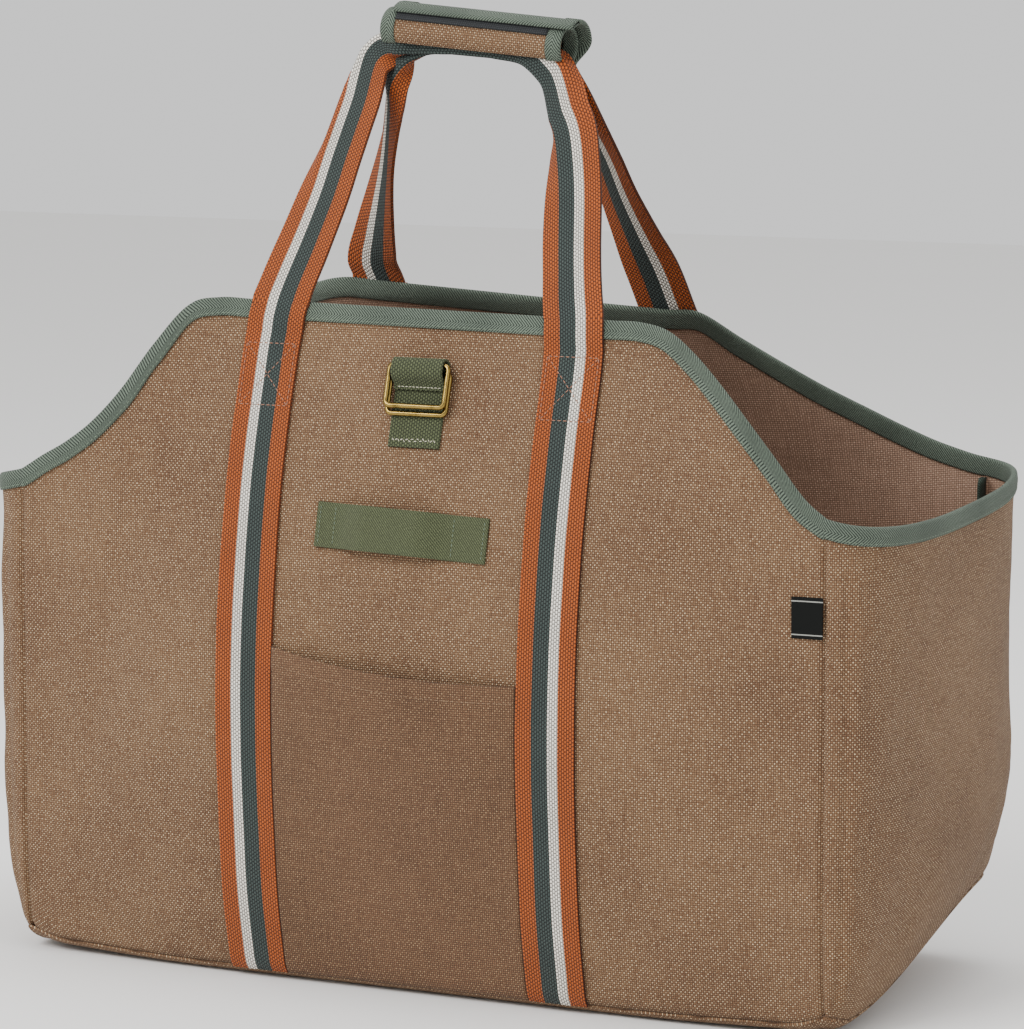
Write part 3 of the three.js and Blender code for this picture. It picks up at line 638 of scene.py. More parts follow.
def floats(tree, x, y, across, along):
    """Height of heavy webbing: long bumps of warp, each row half a step from the next."""
    place = add_node(tree, MATHS, (x, across * MM), operation="DIVIDE")
    column = add_node(tree, MATHS, (place,), operation="FLOOR")
    half = add_node(tree, MATHS, (column, 0.5), operation="MULTIPLY")
    step = add_node(tree, MATHS, (y, along * MM), operation="DIVIDE")
    row = add_node(tree, MATHS, (step, half), operation="ADD")
    round_x = add_node(tree, MATHS, (ridges(tree, place, 1 / MM), 0.6), operation="POWER")
    round_y = add_node(tree, MATHS, (ridges(tree, row, 1 / MM), 0.7), operation="POWER")
    return add_node(tree, MATHS, (round_x, round_y), operation="MULTIPLY")


def canvas_material(name, colour, shade, painted_highlight, inside=False):
    """Waxed cotton duck: a coarse plain weave, with painted highlights on single thread crossings and
    painted shade in the gaps between threads.

    Waxing leaves soft darker and lighter clouds and a dull, dry surface. Its threads lie about
    1 mm apart and are drawn a little coarser, so that the weave shows."""
    pitch = bpy.context.scene.carrier_canvas.thread_pitch / MM
    material, tree, surface = new_material(name, Roughness=0.86, IOR=1.47, Sheen_Weight=0.04,
                                           Specular_IOR_Level=0.3)
    lay, x, y = flat_cloth(tree)
    height, over = crossing(tree, x, y, pitch, pitch)
    clouds = add_node(tree, NOISE, {"Vector": lay, "Scale": 8.0, "Detail": 3.0})
    grain = add_node(tree, NOISE, {"Vector": lay, "Scale": 800.0, "Detail": 1.0})
    # Uneven yarn: long streaks along the warp and along the weft
    thread = 0.0
    for stretch in ((1.0, 0.10, 1.0), (0.10, 1.0, 1.0)):
        along = add_node(tree, "ShaderNodeMapping", {"Vector": lay, "Scale": stretch})
        yarn = add_node(tree, NOISE, {"Vector": along, "Scale": 520.0, "Detail": 1.0})
        thread = add_node(tree, MATHS, (yarn, 0.5, thread), operation="MULTIPLY_ADD")
    soft = add_node(tree, MATHS, (clouds, 0.6), operation="MULTIPLY")
    tone = add_node(tree, MATHS, (thread, 0.6, soft), operation="MULTIPLY_ADD")
    shaded = add_node(tree, RANGE, (tone, 0.48, 0.74))
    base = add_node(tree, MIX, {0: shaded, 6: linear(colour), 7: linear(shade)}, 2, data_type="RGBA")
    floats_up = add_node(tree, RANGE, (over, 0.15, 0.85))
    # Painted highlight: where a thread lies on top, the colour is mixed towards a bright highlight colour
    # in a speckle of the grain
    painted_glint_speckle = add_node(tree, RANGE, (grain, 0.36, 0.66))
    painted_glint = add_node(tree, MATHS, (floats_up, painted_glint_speckle), operation="MULTIPLY")
    base = add_node(tree, MIX, {0: painted_glint, 6: base, 7: linear(painted_highlight)}, 2, data_type="RGBA")
    # Painted shade: the gaps between threads are darkened to a deep shade of the darker tone
    painted_gap_shade = add_node(tree, RANGE, (height, 0.0, 0.5, 0.9, 0.0))
    base = add_node(tree, MIX, {0: painted_gap_shade, 6: base, 7: scaled(linear(shade), 0.3)}, 2, data_type="RGBA")
    flat = add_node(tree, MATHS, (height, 0.6), operation="MULTIPLY")
    lift = add_node(tree, MATHS, (floats_up, 0.7, flat), operation="MULTIPLY_ADD")
    lift = add_node(tree, MATHS, (thread, 0.6, lift), operation="MULTIPLY_ADD")
    finish_cloth(tree, surface, base, lift, (0.15 if inside else 0.5) * MM)
    return material


def tape_material(name, colour, light, pitch):
    """Cotton herringbone tape: fine slanted ribs that meet along the middle, with painted light on their
    crowns and painted shade between them.
    """
    material, tree, surface = new_material(name, Roughness=0.85, IOR=1.47, Sheen_Weight=0.04,
                                           Specular_IOR_Level=0.3)
    lay, x, y = flat_cloth(tree)
    slant = add_node(tree, MATHS, (x,), operation="ABSOLUTE")
    run = add_node(tree, MATHS, (slant, 1.1, y), operation="MULTIPLY_ADD")
    grain = add_node(tree, NOISE, {"Vector": lay, "Scale": 1100.0, "Detail": 1.0})
    clouds = add_node(tree, NOISE, {"Vector": lay, "Scale": 22.0, "Detail": 2.0})
    fuzz = add_node(tree, MATHS, (grain, 0.5), operation="MULTIPLY")
    tone = add_node(tree, MATHS, (ridges(tree, run, pitch), 0.75, fuzz), operation="MULTIPLY_ADD")
    # Painted light and shade: the rib crowns are mixed towards the light colour, the grooves between them
    # stay dark
    painted_rib_light = add_node(tree, RANGE, (tone, 0.45, 1.1))
    base = add_node(tree, MIX, {0: painted_rib_light, 6: linear(colour), 7: linear(light)}, 2, data_type="RGBA")
    worn = add_node(tree, RANGE, (clouds, 0.35, 0.7, 0.0, 0.3))
    base = add_node(tree, MIX, {0: worn, 6: base, 7: linear(colour)}, 2, data_type="RGBA")
    finish_cloth(tree, surface, base, tone, 0.55 * MM)
    return material


def striped_material():
    """Heavy cotton webbing in four stripes of dyed yarn, with a knobbly warp-faced weave, painted shade
    in its hollows and painted highlights on its crowns.
    """
    options = bpy.context.scene.carrier_webbing
    material, tree, surface = new_material("striped_cotton_webbing", Roughness=0.82, IOR=1.47,
                                           Sheen_Weight=0.05, Specular_IOR_Level=0.3)
    lay, x, y = flat_cloth(tree)
    share = add_node(tree, MATHS, (x, STRAP_WIDTH * MM), operation="DIVIDE")
    yarn = add_node(tree, "ShaderNodeValToRGB", (share,))
    colours = yarn.node.color_ramp
    colours.interpolation = "CONSTANT"
    stripes = (options.orange, options.white, options.green, options.orange)
    for k, (start, colour) in enumerate(zip(STRIPE_STARTS, stripes)):
        stripe = colours.elements[k] if k < 2 else colours.elements.new(start)
        stripe.position = start
        stripe.color = scaled(colour, 1.0)
    height = floats(tree, x, y, 1.58, 2.3)
    grain = add_node(tree, NOISE, {"Vector": lay, "Scale": 1300.0, "Detail": 1.0})
    clouds = add_node(tree, NOISE, {"Vector": lay, "Scale": 30.0, "Detail": 2.0})
    # Painted shade: the yarn darkened deeply, put in the hollows between the bumps of the weave; the worn
    # clouds below reuse this dark colour
    dark = add_node(tree, MIX, {0: 1.0, 6: yarn, 7: (0.11, 0.10, 0.10, 1.0)}, 2,
                    data_type="RGBA", blend_type="MULTIPLY")
    raised = add_node(tree, RANGE, (height, 0.08, 0.8))
    base = add_node(tree, MIX, {0: raised, 6: dark, 7: yarn}, 2, data_type="RGBA")
    # Painted highlight: the crowns of the bumps, in a speckle of the grain, are mixed towards a lightened
    # yarn colour
    lighter = add_node(tree, MIX, {0: 1.0, 6: base, 7: (2.0, 1.9, 1.8, 1.0)}, 2,
                       data_type="RGBA", blend_type="MULTIPLY")
    crown = add_node(tree, RANGE, (height, 0.6, 1.0))
    painted_glint_speckle = add_node(tree, RANGE, (grain, 0.35, 0.7, 0.0, 0.6))
    top = add_node(tree, MATHS, (crown, painted_glint_speckle), operation="MULTIPLY")
    base = add_node(tree, MIX, {0: top, 6: base, 7: lighter}, 2, data_type="RGBA")
    worn = add_node(tree, RANGE, (clouds, 0.3, 0.7, 0.0, 0.18))
    base = add_node(tree, MIX, {0: worn, 6: base, 7: dark}, 2, data_type="RGBA")
    relief = add_node(tree, MATHS, (grain, 0.25, height), operation="MULTIPLY_ADD")
    finish_cloth(tree, surface, base, relief, 0.85 * MM)
    return material


def olive_material(name, twill):
    """Olive webbing: knobbly on the ring loop, a slanted twill on the tool loop, with painted shade in
    its hollows and painted highlights on its crowns.
    """
    olive = bpy.context.scene.carrier_fittings.olive
    material, tree, surface = new_material(name, Roughness=0.86, IOR=1.47, Sheen_Weight=0.04,
                                           Specular_IOR_Level=0.3)
    lay, x, y = flat_cloth(tree)
    if twill:
        run = add_node(tree, MATHS, (y, 0.9, x), operation="MULTIPLY_ADD")
        cross = add_node(tree, MATHS, (ridges(tree, x, 1.1), 0.25), operation="MULTIPLY")
        height = add_node(tree, MATHS, (ridges(tree, run, 1.7), 0.75, cross), operation="MULTIPLY_ADD")
    else:
        height = floats(tree, x, y, 1.6, 2.2)
    grain = add_node(tree, NOISE, {"Vector": lay, "Scale": 1200.0, "Detail": 1.0})
    # Painted shade: the hollows of the weave are darkened to 0.28 of the olive
    raised = add_node(tree, RANGE, (height, 0.1, 0.6))
    base = add_node(tree, MIX, {0: raised, 6: scaled(olive, 0.28), 7: scaled(olive, 1.0)}, 2,
                    data_type="RGBA")
    # Painted highlight: the crowns of the weave, in a speckle of the grain, are mixed towards three times
    # the olive
    crown = add_node(tree, RANGE, (height, 0.55, 1.0))
    painted_glint_speckle = add_node(tree, RANGE, (grain, 0.35, 0.7, 0.0, 0.7))
    top = add_node(tree, MATHS, (crown, painted_glint_speckle), operation="MULTIPLY")
    base = add_node(tree, MIX, {0: top, 6: base, 7: scaled(olive, 3.0)}, 2, data_type="RGBA")
    finish_cloth(tree, surface, base, height, 0.65 * MM)
    return material


def brass_material():
    """Polished brass wire with a thin dull film, so its highlights are soft at their edges."""
    brass = bpy.context.scene.carrier_fittings.brass
    material, tree, surface = new_material("brass_wire", Metallic=1.0, Roughness=0.2)
    place = add_node(tree, "ShaderNodeTexCoord", {}, "Object")
    film = add_node(tree, NOISE, {"Vector": place, "Scale": 260.0, "Detail": 3.0})
    dull = add_node(tree, RANGE, (film, 0.45, 0.75))
    colour = add_node(tree, MIX, {0: dull, 6: scaled(brass, 1.0), 7: scaled(brass, 0.55)}, 2,
                      data_type="RGBA")
    tree.links.new(colour, surface.inputs["Base Color"])
    tree.links.new(add_node(tree, RANGE, (film, 0.3, 0.8, 0.14, 0.30)), surface.inputs["Roughness"])
    return material


def thread_material(name, colour):
    """Twisted polyester thread, slightly glossier than the cloth it lies on."""
    material, tree, surface = new_material(name, Roughness=0.6, IOR=1.5)
    place = add_node(tree, "ShaderNodeTexCoord", {}, "Object")
    twist = add_node(tree, RANGE, (add_node(tree, NOISE, {"Vector": place, "Scale": 1500.0}), 0.35, 0.65))
    shades = {0: twist, 6: scaled(linear(colour), 0.6), 7: linear(colour)}
    tree.links.new(add_node(tree, MIX, shades, 2, data_type="RGBA"), surface.inputs["Base Color"])
    return material


def hook_material():
    """Nylon hook side of a hook and loop tape: dark, stiff and matt."""
    material, tree, surface = new_material("nylon_hook_tape", Roughness=0.9, IOR=1.53)
    x, y = flat_cloth(tree)[1:]
    height = crossing(tree, x, y, 1.4, 1.4)[0]
    # Painted light and shade: the raised threads are lighter and the hollows of the weave darker
    shades = {0: height, 6: linear("#0f1113"), 7: linear("#2d3033")}
    finish_cloth(tree, surface, add_node(tree, MIX, shades, 2, data_type="RGBA"), height, 0.5 * MM)
    return material


def tag_material():
    """Damask woven tag: near black, with a thin pale line along its top and bottom edge."""
    material, tree, surface = new_material("woven_tag", Roughness=0.75, IOR=1.45, Specular_IOR_Level=0.15)
    x, y = flat_cloth(tree)[1:]
    height = crossing(tree, x, y, 0.6, 0.5)[0]
    # Painted light and shade: the raised threads are a little lighter than the hollows of the weave
    shades = {0: height, 6: linear("#090a09"), 7: linear("#131514")}
    ground = add_node(tree, MIX, shades, 2, data_type="RGBA")
    from_middle = add_node(tree, MATHS, (y,), operation="ABSOLUTE")
    from_line = add_node(tree, MATHS, (from_middle, TAG_LINE_AT * MM), operation="SUBTRACT")
    edge = add_node(tree, MATHS, (from_line,), operation="ABSOLUTE")
    line = add_node(tree, RANGE, (edge, 0.25 * MM, 0.4 * MM, 0.75, 0.0))
    base = add_node(tree, MIX, {0: line, 6: ground, 7: linear("#a9a9a2")}, 2, data_type="RGBA")
    finish_cloth(tree, surface, base, height, 0.08 * MM)
    return material


def stage_material(name, colour):
    """Matt painted board, barely uneven in tone."""
    material, tree, surface = new_material(name, Roughness=0.9, IOR=1.5, Specular_IOR_Level=0.15)
    place = add_node(tree, "ShaderNodeTexCoord", {}, "Object")
    clouds = add_node(tree, NOISE, {"Vector": place, "Scale": 3.0})
    shades = {0: clouds, 6: linear(colour), 7: scaled(linear(colour), 0.985)}
    tree.links.new(add_node(tree, MIX, shades, 2, data_type="RGBA"), surface.inputs["Base Color"])
    return material


MADE = {}
MATERIAL_MAKERS = {
    # Canvas colours: its own colour, a darker tone, and the colour of the painted highlights on the
    # threads
    "canvas": lambda: canvas_material("waxed_cotton_canvas", "#846447", "#694a33", "#e2c8a2"),
    # The inside's colours are lighter than the outer canvas: painted light, standing in for the light
    # that reaches the inside
    "inside": lambda: canvas_material("canvas_inside", "#a88873", "#8c6f5c", "#c8a993", inside=True),
    # The pocket's colours are darker than the main canvas: painted shade on the pocket
    "pocket": lambda: canvas_material("pocket_canvas", "#74543c", "#5f432f", "#b4946e"),
    # Tape colours: the dark colour in the grooves and the painted light on the crowns of the ribs
    "tape": lambda: tape_material("herringbone_tape", "#1b221e", "#727f70", 1.9),
    "seam_tape": lambda: tape_material("dark_herringbone_tape", "#1c2620", "#3a4a3e", 1.45),
    "striped": striped_material,
    "olive": lambda: olive_material("olive_webbing", False),
    "olive_twill": lambda: olive_material("olive_twill_webbing", True),
    "brass": brass_material,
    "hook": hook_material,
    "tag": tag_material,
    "pale_thread": lambda: thread_material("pale_thread", "#cfcab4"),
    "orange_thread": lambda: thread_material("strap_thread", "#a5745c"),
    "tan_thread": lambda: thread_material("tan_thread", "#8d7054"),
    "green_thread": lambda: thread_material("green_thread", "#73836f"),
}


def material(name):
    """The shared material of that name, made when it is first asked for."""
    if name not in MADE:
        MADE[name] = MATERIAL_MAKERS[name]()
    return MADE[name]


# Settings


class CarrierCanvas(bpy.types.PropertyGroup):
    thread_pitch: bpy.props.FloatProperty(
        name="Thread pitch", description="Distance between neighbouring threads of the canvas",
        default=1.35 * MM, min=0.0005, unit="LENGTH", precision=5)
    cell: bpy.props.FloatProperty(
        name="Cell", description="Size of the mesh cells of the canvas panels",
        default=3.2 * MM, min=0.001, unit="LENGTH", precision=5)


class CarrierWebbing(bpy.types.PropertyGroup):
    orange: bpy.props.FloatVectorProperty(
        name="Orange", description="Outer stripes of the webbing",
        subtype="COLOR", size=3, default=linear("#aa541f")[:3])
    white: bpy.props.FloatVectorProperty(
        name="White", description="Pale stripe of the webbing",
        subtype="COLOR", size=3, default=linear("#f5f0e4")[:3])
    green: bpy.props.FloatVectorProperty(
        name="Slate green", description="Green stripe of the webbing",
        subtype="COLOR", size=3, default=linear("#3c4744")[:3])


class CarrierFittings(bpy.types.PropertyGroup):
    olive: bpy.props.FloatVectorProperty(
        name="Olive", description="Webbing of the ring loop and the tool loop",
        subtype="COLOR", size=3, default=linear("#454b33")[:3])
    brass: bpy.props.FloatVectorProperty(
        name="Brass", description="Wire of the rings",
        subtype="COLOR", size=3, default=linear("#8f7840")[:3])


class CarrierStage(bpy.types.PropertyGroup):
    light: bpy.props.FloatProperty(
        name="Light", description="Strength of the main light", default=90.0, min=0.0, unit="POWER")
    world: bpy.props.FloatProperty(
        name="Ambient", description="Strength of the even white light from all round",
        default=0.95, min=0.0)


# Pieces


class CARRIER_OT_walls(bpy.types.Operator):
    """Front, back and end panels of waxed canvas"""
    bl_idname = "carrier.walls"
    bl_label = "Canvas panels"

    def execute(self, context):
        cell = context.scene.carrier_canvas.cell / MM
        share = steps(0.0, 1.0, cell / 400.0)[:, None]
        bottom = BASE_LIP + GAP
        for side, node in ((-1, "front_panel"), (1, "back_panel")):
            beside_seam = SEAM_X - np.array((0.6, 1.2, 1.8, 2.5))
            x = np.concatenate([steps(-SEAM_X, SEAM_X, cell), beside_seam, -beside_seam])
            x = np.unique(x)[None, :]
            top = rim_height(side, x)
            z = bottom + (top - bottom) * share
            x = np.broadcast_to(x, z.shape)
            piece = cloth(node + "_cloth", on_wall(side, x, z), np.stack([x, z], -1),
                          (0, side, 0), material("canvas"))
            thicken(piece, CANVAS, -1, material("inside"))
            settle(piece, "bag", "canvas", node)
        for side, node in ((-1, "end_panel_left"), (1, "end_panel_right")):
            angle = 90 * np.sin(steps(-1.0, 1.0, cell / 160.0) * math.pi / 2)[None, :]
            z = bottom + (end_rim(angle) - bottom) * share
            angle = np.broadcast_to(angle, z.shape)
            points = on_end(side, angle, z)
            run = np.stack([lengths(row) for row in points])
            piece = cloth(node + "_cloth", points, np.stack([run, z], -1),
                          (side * 0.2, -1, 0), material("canvas"))
            thicken(piece, CANVAS, -1, material("inside"))
            settle(piece, "bag", "canvas", node)
        return {"FINISHED"}


def unfolded(share):
    """The shares of the lap whose points on the ground go steadily round, without turning back."""
    ground = rounded(on_lap(share, 0.0, 0.0))
    turn = np.unwrap(np.arctan2(ground[:, 1], ground[:, 0]))
    ahead = turn[1:-1] > np.maximum.accumulate(turn)[:-2] + 1e-4
    return share[np.concatenate([[True], ahead & (turn[1:-1] < turn[-1] - 1e-4), [True]])]


class CARRIER_OT_base(bpy.types.Operator):
    """Base tray of canvas, with its turned up edge rolled at the bottom seam"""
    bl_idname = "carrier.base"
    bl_label = "Base"

    def execute(self, context):
        share = unfolded(steps(0.0, 1.0, 4.0 / LAP_LENGTH))
        away = on_lap(share, 20.0, 1.0) - on_lap(share, 20.0, 0.0)
        away[:, 2] = 0.0
        away = rounded(away)
        away /= np.linalg.norm(away, axis=1)[:, None]
        rings = [rounded(on_lap(share, z, 0.0)) + away * out for z, out in (
            (6.0, 0.4), (5.2, 1.1), (4.0, 1.4), (2.6, 1.2), (1.2, 0.6), (0.0, 0.0))]
        ground = rings[-1]
        for inward in (0.985, 0.95, 0.88, 0.76, 0.62, 0.46, 0.3, 0.14, 0.0):
            rings.append(lifted(ground[:, 0] * inward, ground[:, 1] * inward, 0.0))
        points = np.array(rings)
        lay = points[..., :2].copy()
        piece = cloth("base_cloth", points, lay, (0, -1, 0), material("canvas"), closed=True)
        thicken(piece, CANVAS, -1, material("inside"))
        settle(piece, "bag", "canvas", "base_panel")
        return {"FINISHED"}


class CARRIER_OT_rim(bpy.types.Operator):
    """Herringbone tape folded over the whole rim"""
    bl_idname = "carrier.rim"
    bl_label = "Rim tape"

    def execute(self, context):
        share = steps(0.0, 1.0, 3.0 / LAP_LENGTH)
        rim, steep = lap_rim(share)
        outer, inner = GAP + TAPE / 2, -(CANVAS + GAP + TAPE / 2)
        middle, radius = (outer + inner) / 2, (outer - inner) / 2
        section = []
        for down in (BINDING_WIDTH, 8.2, 7.0, 5.6, 4.8, 4.0, 2.6, 1.2, 0.0):
            crown = 0.55 * math.sin(math.pi * min(1.0, down / BINDING_WIDTH))
            crown -= 0.35 * math.exp(-((down - 4.8) / 0.7) ** 2)
            section.append((outer + crown, down))
        for turn in (30, 60, 90, 120, 150):
            angle = math.radians(turn)
            section.append((middle + radius * math.cos(angle), -radius * math.sin(angle)))
        for down in (0.0, 1.5, 3.0, 4.8, 6.6, 8.0, BINDING_WIDTH):
            crown = 0.3 * math.sin(math.pi * min(1.0, down / BINDING_WIDTH))
            section.append((inner - crown, down))
        points = np.stack([on_lap(share, rim - down * steep, out) for out, down in section], 1)
        across = lengths(np.array([(out, down) for out, down in section]))
        lay = np.stack(np.broadcast_arrays(across[None, :] - 4.8, lengths(points[:, 8])[:, None]), -1)
        piece = cloth("rim_tape", points, lay, (0, -1, 0), material("tape"), closed=True)
        thicken(piece, TAPE, 0)
        settle(piece, "bag", "binding_tape", "rim_binding")
        return {"FINISHED"}


class CARRIER_OT_seams(bpy.types.Operator):
    """Bound seam allowances that stand inwards at the four corner seams"""
    bl_idname = "carrier.seams"
    bl_label = "Corner seam bindings"

    def execute(self, context):
        for side_y, depth_name in ((-1, "front"), (1, "back")):
            for side_x, side_name in ((-1, "left"), (1, "right")):
                node = "seam_binding_%s_%s" % (depth_name, side_name)
                z = steps(24.0, END_RIM - 6.0, 4.0)
                root = on_wall(side_y, np.full_like(z, side_x * (SEAM_X - 0.01)), z)
                section = [(-0.9, 0.4), (-0.95, 5.0), (-0.9, 8.6), (-0.5, 9.6), (0.0, 9.9),
                           (0.5, 9.6), (0.9, 8.6), (0.95, 5.0), (0.9, 0.4)]
                wave = 0.5 * np.sin(z / 23.0 + side_x)
                lines = []
                for aside, depth in section:
                    along_x = aside + wave * depth / SEAM_BINDING_DEPTH
                    inward = np.full_like(z, -side_y * (CANVAS + GAP + depth))
                    lines.append(root + np.stack([along_x, inward, 0 * z], -1))
                points = np.stack(lines, 1)
                across = lengths(np.array(section))
                lay = np.stack(np.broadcast_arrays(across[None, :] - across[-1] / 2, z[:, None]), -1)
                piece = cloth(node + "_tape", points, lay, (-1, 0, 0), material("seam_tape"))
                thicken(piece, 0.8, 0)
                settle(piece, "bag", "seam_tape", node)
        return {"FINISHED"}


def strap_section(centre, along, front, inward, turns, columns):
    """One line across the webbing from its outer edge to its inner edge.

    turns: its roll and how far the outer and the inner edge are folded behind, in degrees, and
    how much further in the outer fold lies."""
    roll, outer_fold, inner_fold = np.radians(turns[:3])
    along = along / np.linalg.norm(along)
    front = front - along * np.dot(front, along)
    front /= np.linalg.norm(front)
    across = np.cross(along, front)
    across *= np.sign(np.dot(across, inward))
    front, across = (front * math.cos(roll) - across * math.sin(roll),
                     across * math.cos(roll) + front * math.sin(roll))
    fine = np.linspace(0.0, 1.0, 241)
    angle = inner_fold * ease((fine - 0.66) / 0.12) - outer_fold * ease((0.25 + turns[3] - fine) / 0.12)
    step = STRAP_WIDTH / 240
    flat = np.concatenate([[0.0], np.cumsum(np.cos(angle[1:]) * step)])
    deep = np.concatenate([[0.0], np.cumsum(-np.sin(angle[1:]) * step)])
    flat -= (flat.min() + flat.max()) / 2
    deep -= (deep.min() + deep.max()) / 2
    share = np.linspace(0.0, 1.0, columns)
    return (centre + np.interp(share, fine, flat)[:, None] * across
            + np.interp(share, fine, deep)[:, None] * front)


def strap_on_bag(side_y, side_x, columns):
    """The stretch of a handle that is stitched down, from the bottom seam up to the rim."""
    rim = float(rim_height(side_y, side_x * STRAP_X))
    z = steps(BASE_LIP + GAP, rim, 4.0)
    lean = LEG_LEAN * np.clip((z - rim) / LEG_STRAIGHT + 1, 0.0, 1.0) ** 2
    x = side_x * (STRAP_OUT - lean[:, None] - STRAP_WIDTH * np.linspace(0.0, 1.0, columns)[None, :])
    over = 1.6 * ramp(z, rim - BINDING_WIDTH - 7, rim - BINDING_WIDTH)
    return on_wall(side_y, x, z[:, None], (GAP + WEBBING / 2 + over)[:, None]), rim


def strap_leg(side_y, side_x, bag, rim, columns):
    """The free stretch of a handle from the rim to the middle of the grip."""
    leg = LEGS[(side_y, side_x)]
    normal = wall_normal(side_y, np.array([side_x * STRAP_X]), np.array([rim]))[0]
    low, top = bag[-3].mean(0), bag[-1].mean(0)
    z, x = np.array(leg["z"], float), np.array(leg["x"], float)
    grip_y = GRIP_CENTRE.y + side_y * GRIP_DEPTH
    y = top[1] + (grip_y - top[1]) * np.clip((z - top[2]) / (GRIP_REACHED - top[2]), 0.0, 1.0)
    keys = np.concatenate([[low, top], np.stack([x, y, z], -1)])
    turns = [leg["roll"], leg["outer"], leg["inner"], leg.get("shift", 0 * z)]
    turns = np.stack(turns, -1).astype(float)
    turns = np.concatenate([np.zeros((2, 4)), turns])
    run = lengths(keys)
    at = steps(run[1], run[-1], 2.5)[1:]
    line, turned = through(run, keys, at), through(run, turns, at)
    along = through(run, keys, at + 0.5) - through(run, keys, at - 0.5)
    upright = ramp(at, run[1], run[3])[:, None]
    along /= np.linalg.norm(along, axis=1)[:, None]
    from_bag = (1 - ramp(at, run[1], run[1] + LEG_STRAIGHT))[:, None]
    along = along + from_bag * ((top - low) / np.linalg.norm(top - low) - along)
    front = (normal if side_y < 0 else -normal) * (1 - upright) + np.array((0.0, -1.0, 0.0)) * upright
    inward = np.array((-side_x, 0.0, 0.0)) + np.array((0.0, 0.0, -0.4))
    return [strap_section(line[i], along[i], front[i], inward, turned[i], columns)
            for i in range(len(at))]


def strap_points(side_y, columns):
    """All lines across a handle's webbing, from its left foot over the grip to its right foot."""
    rows = []
    for side_x in (-1, 1):
        bag, rim = strap_on_bag(side_y, side_x, columns)
        half = list(bag) + strap_leg(side_y, side_x, bag, rim, columns)
        rows += half if side_x < 0 else half[::-1]
    return np.array(rows)


class CARRIER_OT_handles(bpy.types.Operator):
    """Striped webbing handles, stitched to the bag and folded lengthwise in the grip"""
    bl_idname = "carrier.handles"
    bl_label = "Handles"

    def execute(self, context):
        columns = 25
        for side_y, node in ((-1, "front_handle_webbing"), (1, "back_handle_webbing")):
            points = strap_points(side_y, columns)
            run = lengths(points[:, columns // 2])
            across = np.linspace(0, STRAP_WIDTH, columns)
            lay = np.stack(np.broadcast_arrays(across[None, :], run[:, None]), -1)
            piece = cloth(node + "_cloth", points, lay, (0, side_y, 0), material("striped"))
            thicken(piece, WEBBING, 0)
            soften(piece, 0.6)
            settle(piece, "bag", "striped_webbing", node)
        return {"FINISHED"}


def wrap_point(angle, out):
    turn = np.radians(angle)
    return np.stack([np.cos(turn) * (WRAP_HALF[0] + out), np.sin(turn) * (WRAP_HALF[1] + out)], -1)


def wrap_line():
    """Middle line of the wrap's section, the direction across it and how far it is shifted along
    the grip: over the grip, folded at the lower back and back over the top as the flap."""
    def turn(angle):
        return np.stack([np.cos(np.radians(angle)), np.sin(np.radians(angle))], -1)

    under = steps(WRAP_START, WRAP_FOLD, 5.0)
    bend = steps(15.0, 165.0, 15.0)
    over = steps(WRAP_FOLD, FLAP_END, 5.0)
    centre = wrap_point(WRAP_FOLD, LAYER_STEP / 2)
    folded = centre - turn(WRAP_FOLD + bend) * LAYER_STEP / 2
    points = [wrap_point(under, 0.0), folded, wrap_point(over, LAYER_STEP)]
    across = [turn(under), turn(WRAP_FOLD + bend), -turn(over)]
    shift = [0 * under, 0 * bend, FLAP_SHIFT * ease((over - WRAP_FOLD) / 60)]
    return np.concatenate(points), np.concatenate(across), np.concatenate(shift)


def in_wrap(x, section):
    """Points of the wrap from their place along it and their (depth, height) in its section."""
    x, depth, height = np.broadcast_arrays(x, section[..., 0], section[..., 1])
    turn = np.array(Matrix.Rotation(GRIP_TILT, 3, "Y"))
    return np.stack([x, depth, height], -1) @ turn.T + np.array(GRIP_CENTRE)


def wrap_tape(name, node, ends, line, across, shift):
    """Tape folded over an end of the wrap: ends gives where it starts and where it turns."""
    start, edge = ends
    way = 1 if edge > start else -1
    round_off = [(edge - way * (1.1 - 1.1 * math.sin(math.radians(a))), 1.1 * math.cos(math.radians(a)))
                 for a in (30, 60, 90, 120, 150)]
    mids = np.linspace(start, edge - way * 1.1, 7)
    path = [(x, 1.1 + 0.25 * math.sin(math.pi * k / 6)) for k, x in enumerate(mids)] + round_off
    path += [(x, -1.1) for x in mids[::-1]]
    points = np.stack([in_wrap(x + shift, line + across * out) for x, out in path], 1)
    across_tape = lengths(np.array(path)) - WRAP_BINDING_WIDTH / 2
    lay = np.stack(np.broadcast_arrays(across_tape[None, :], lengths(line)[:, None]), -1)
    first = in_wrap(0.0, line[0] + across[0]) - in_wrap(0.0, line[0])
    piece = cloth(name, points, lay, first, material("tape"))
    thicken(piece, 0.8, 0)
    settle(piece, "bag", "binding_tape", node)


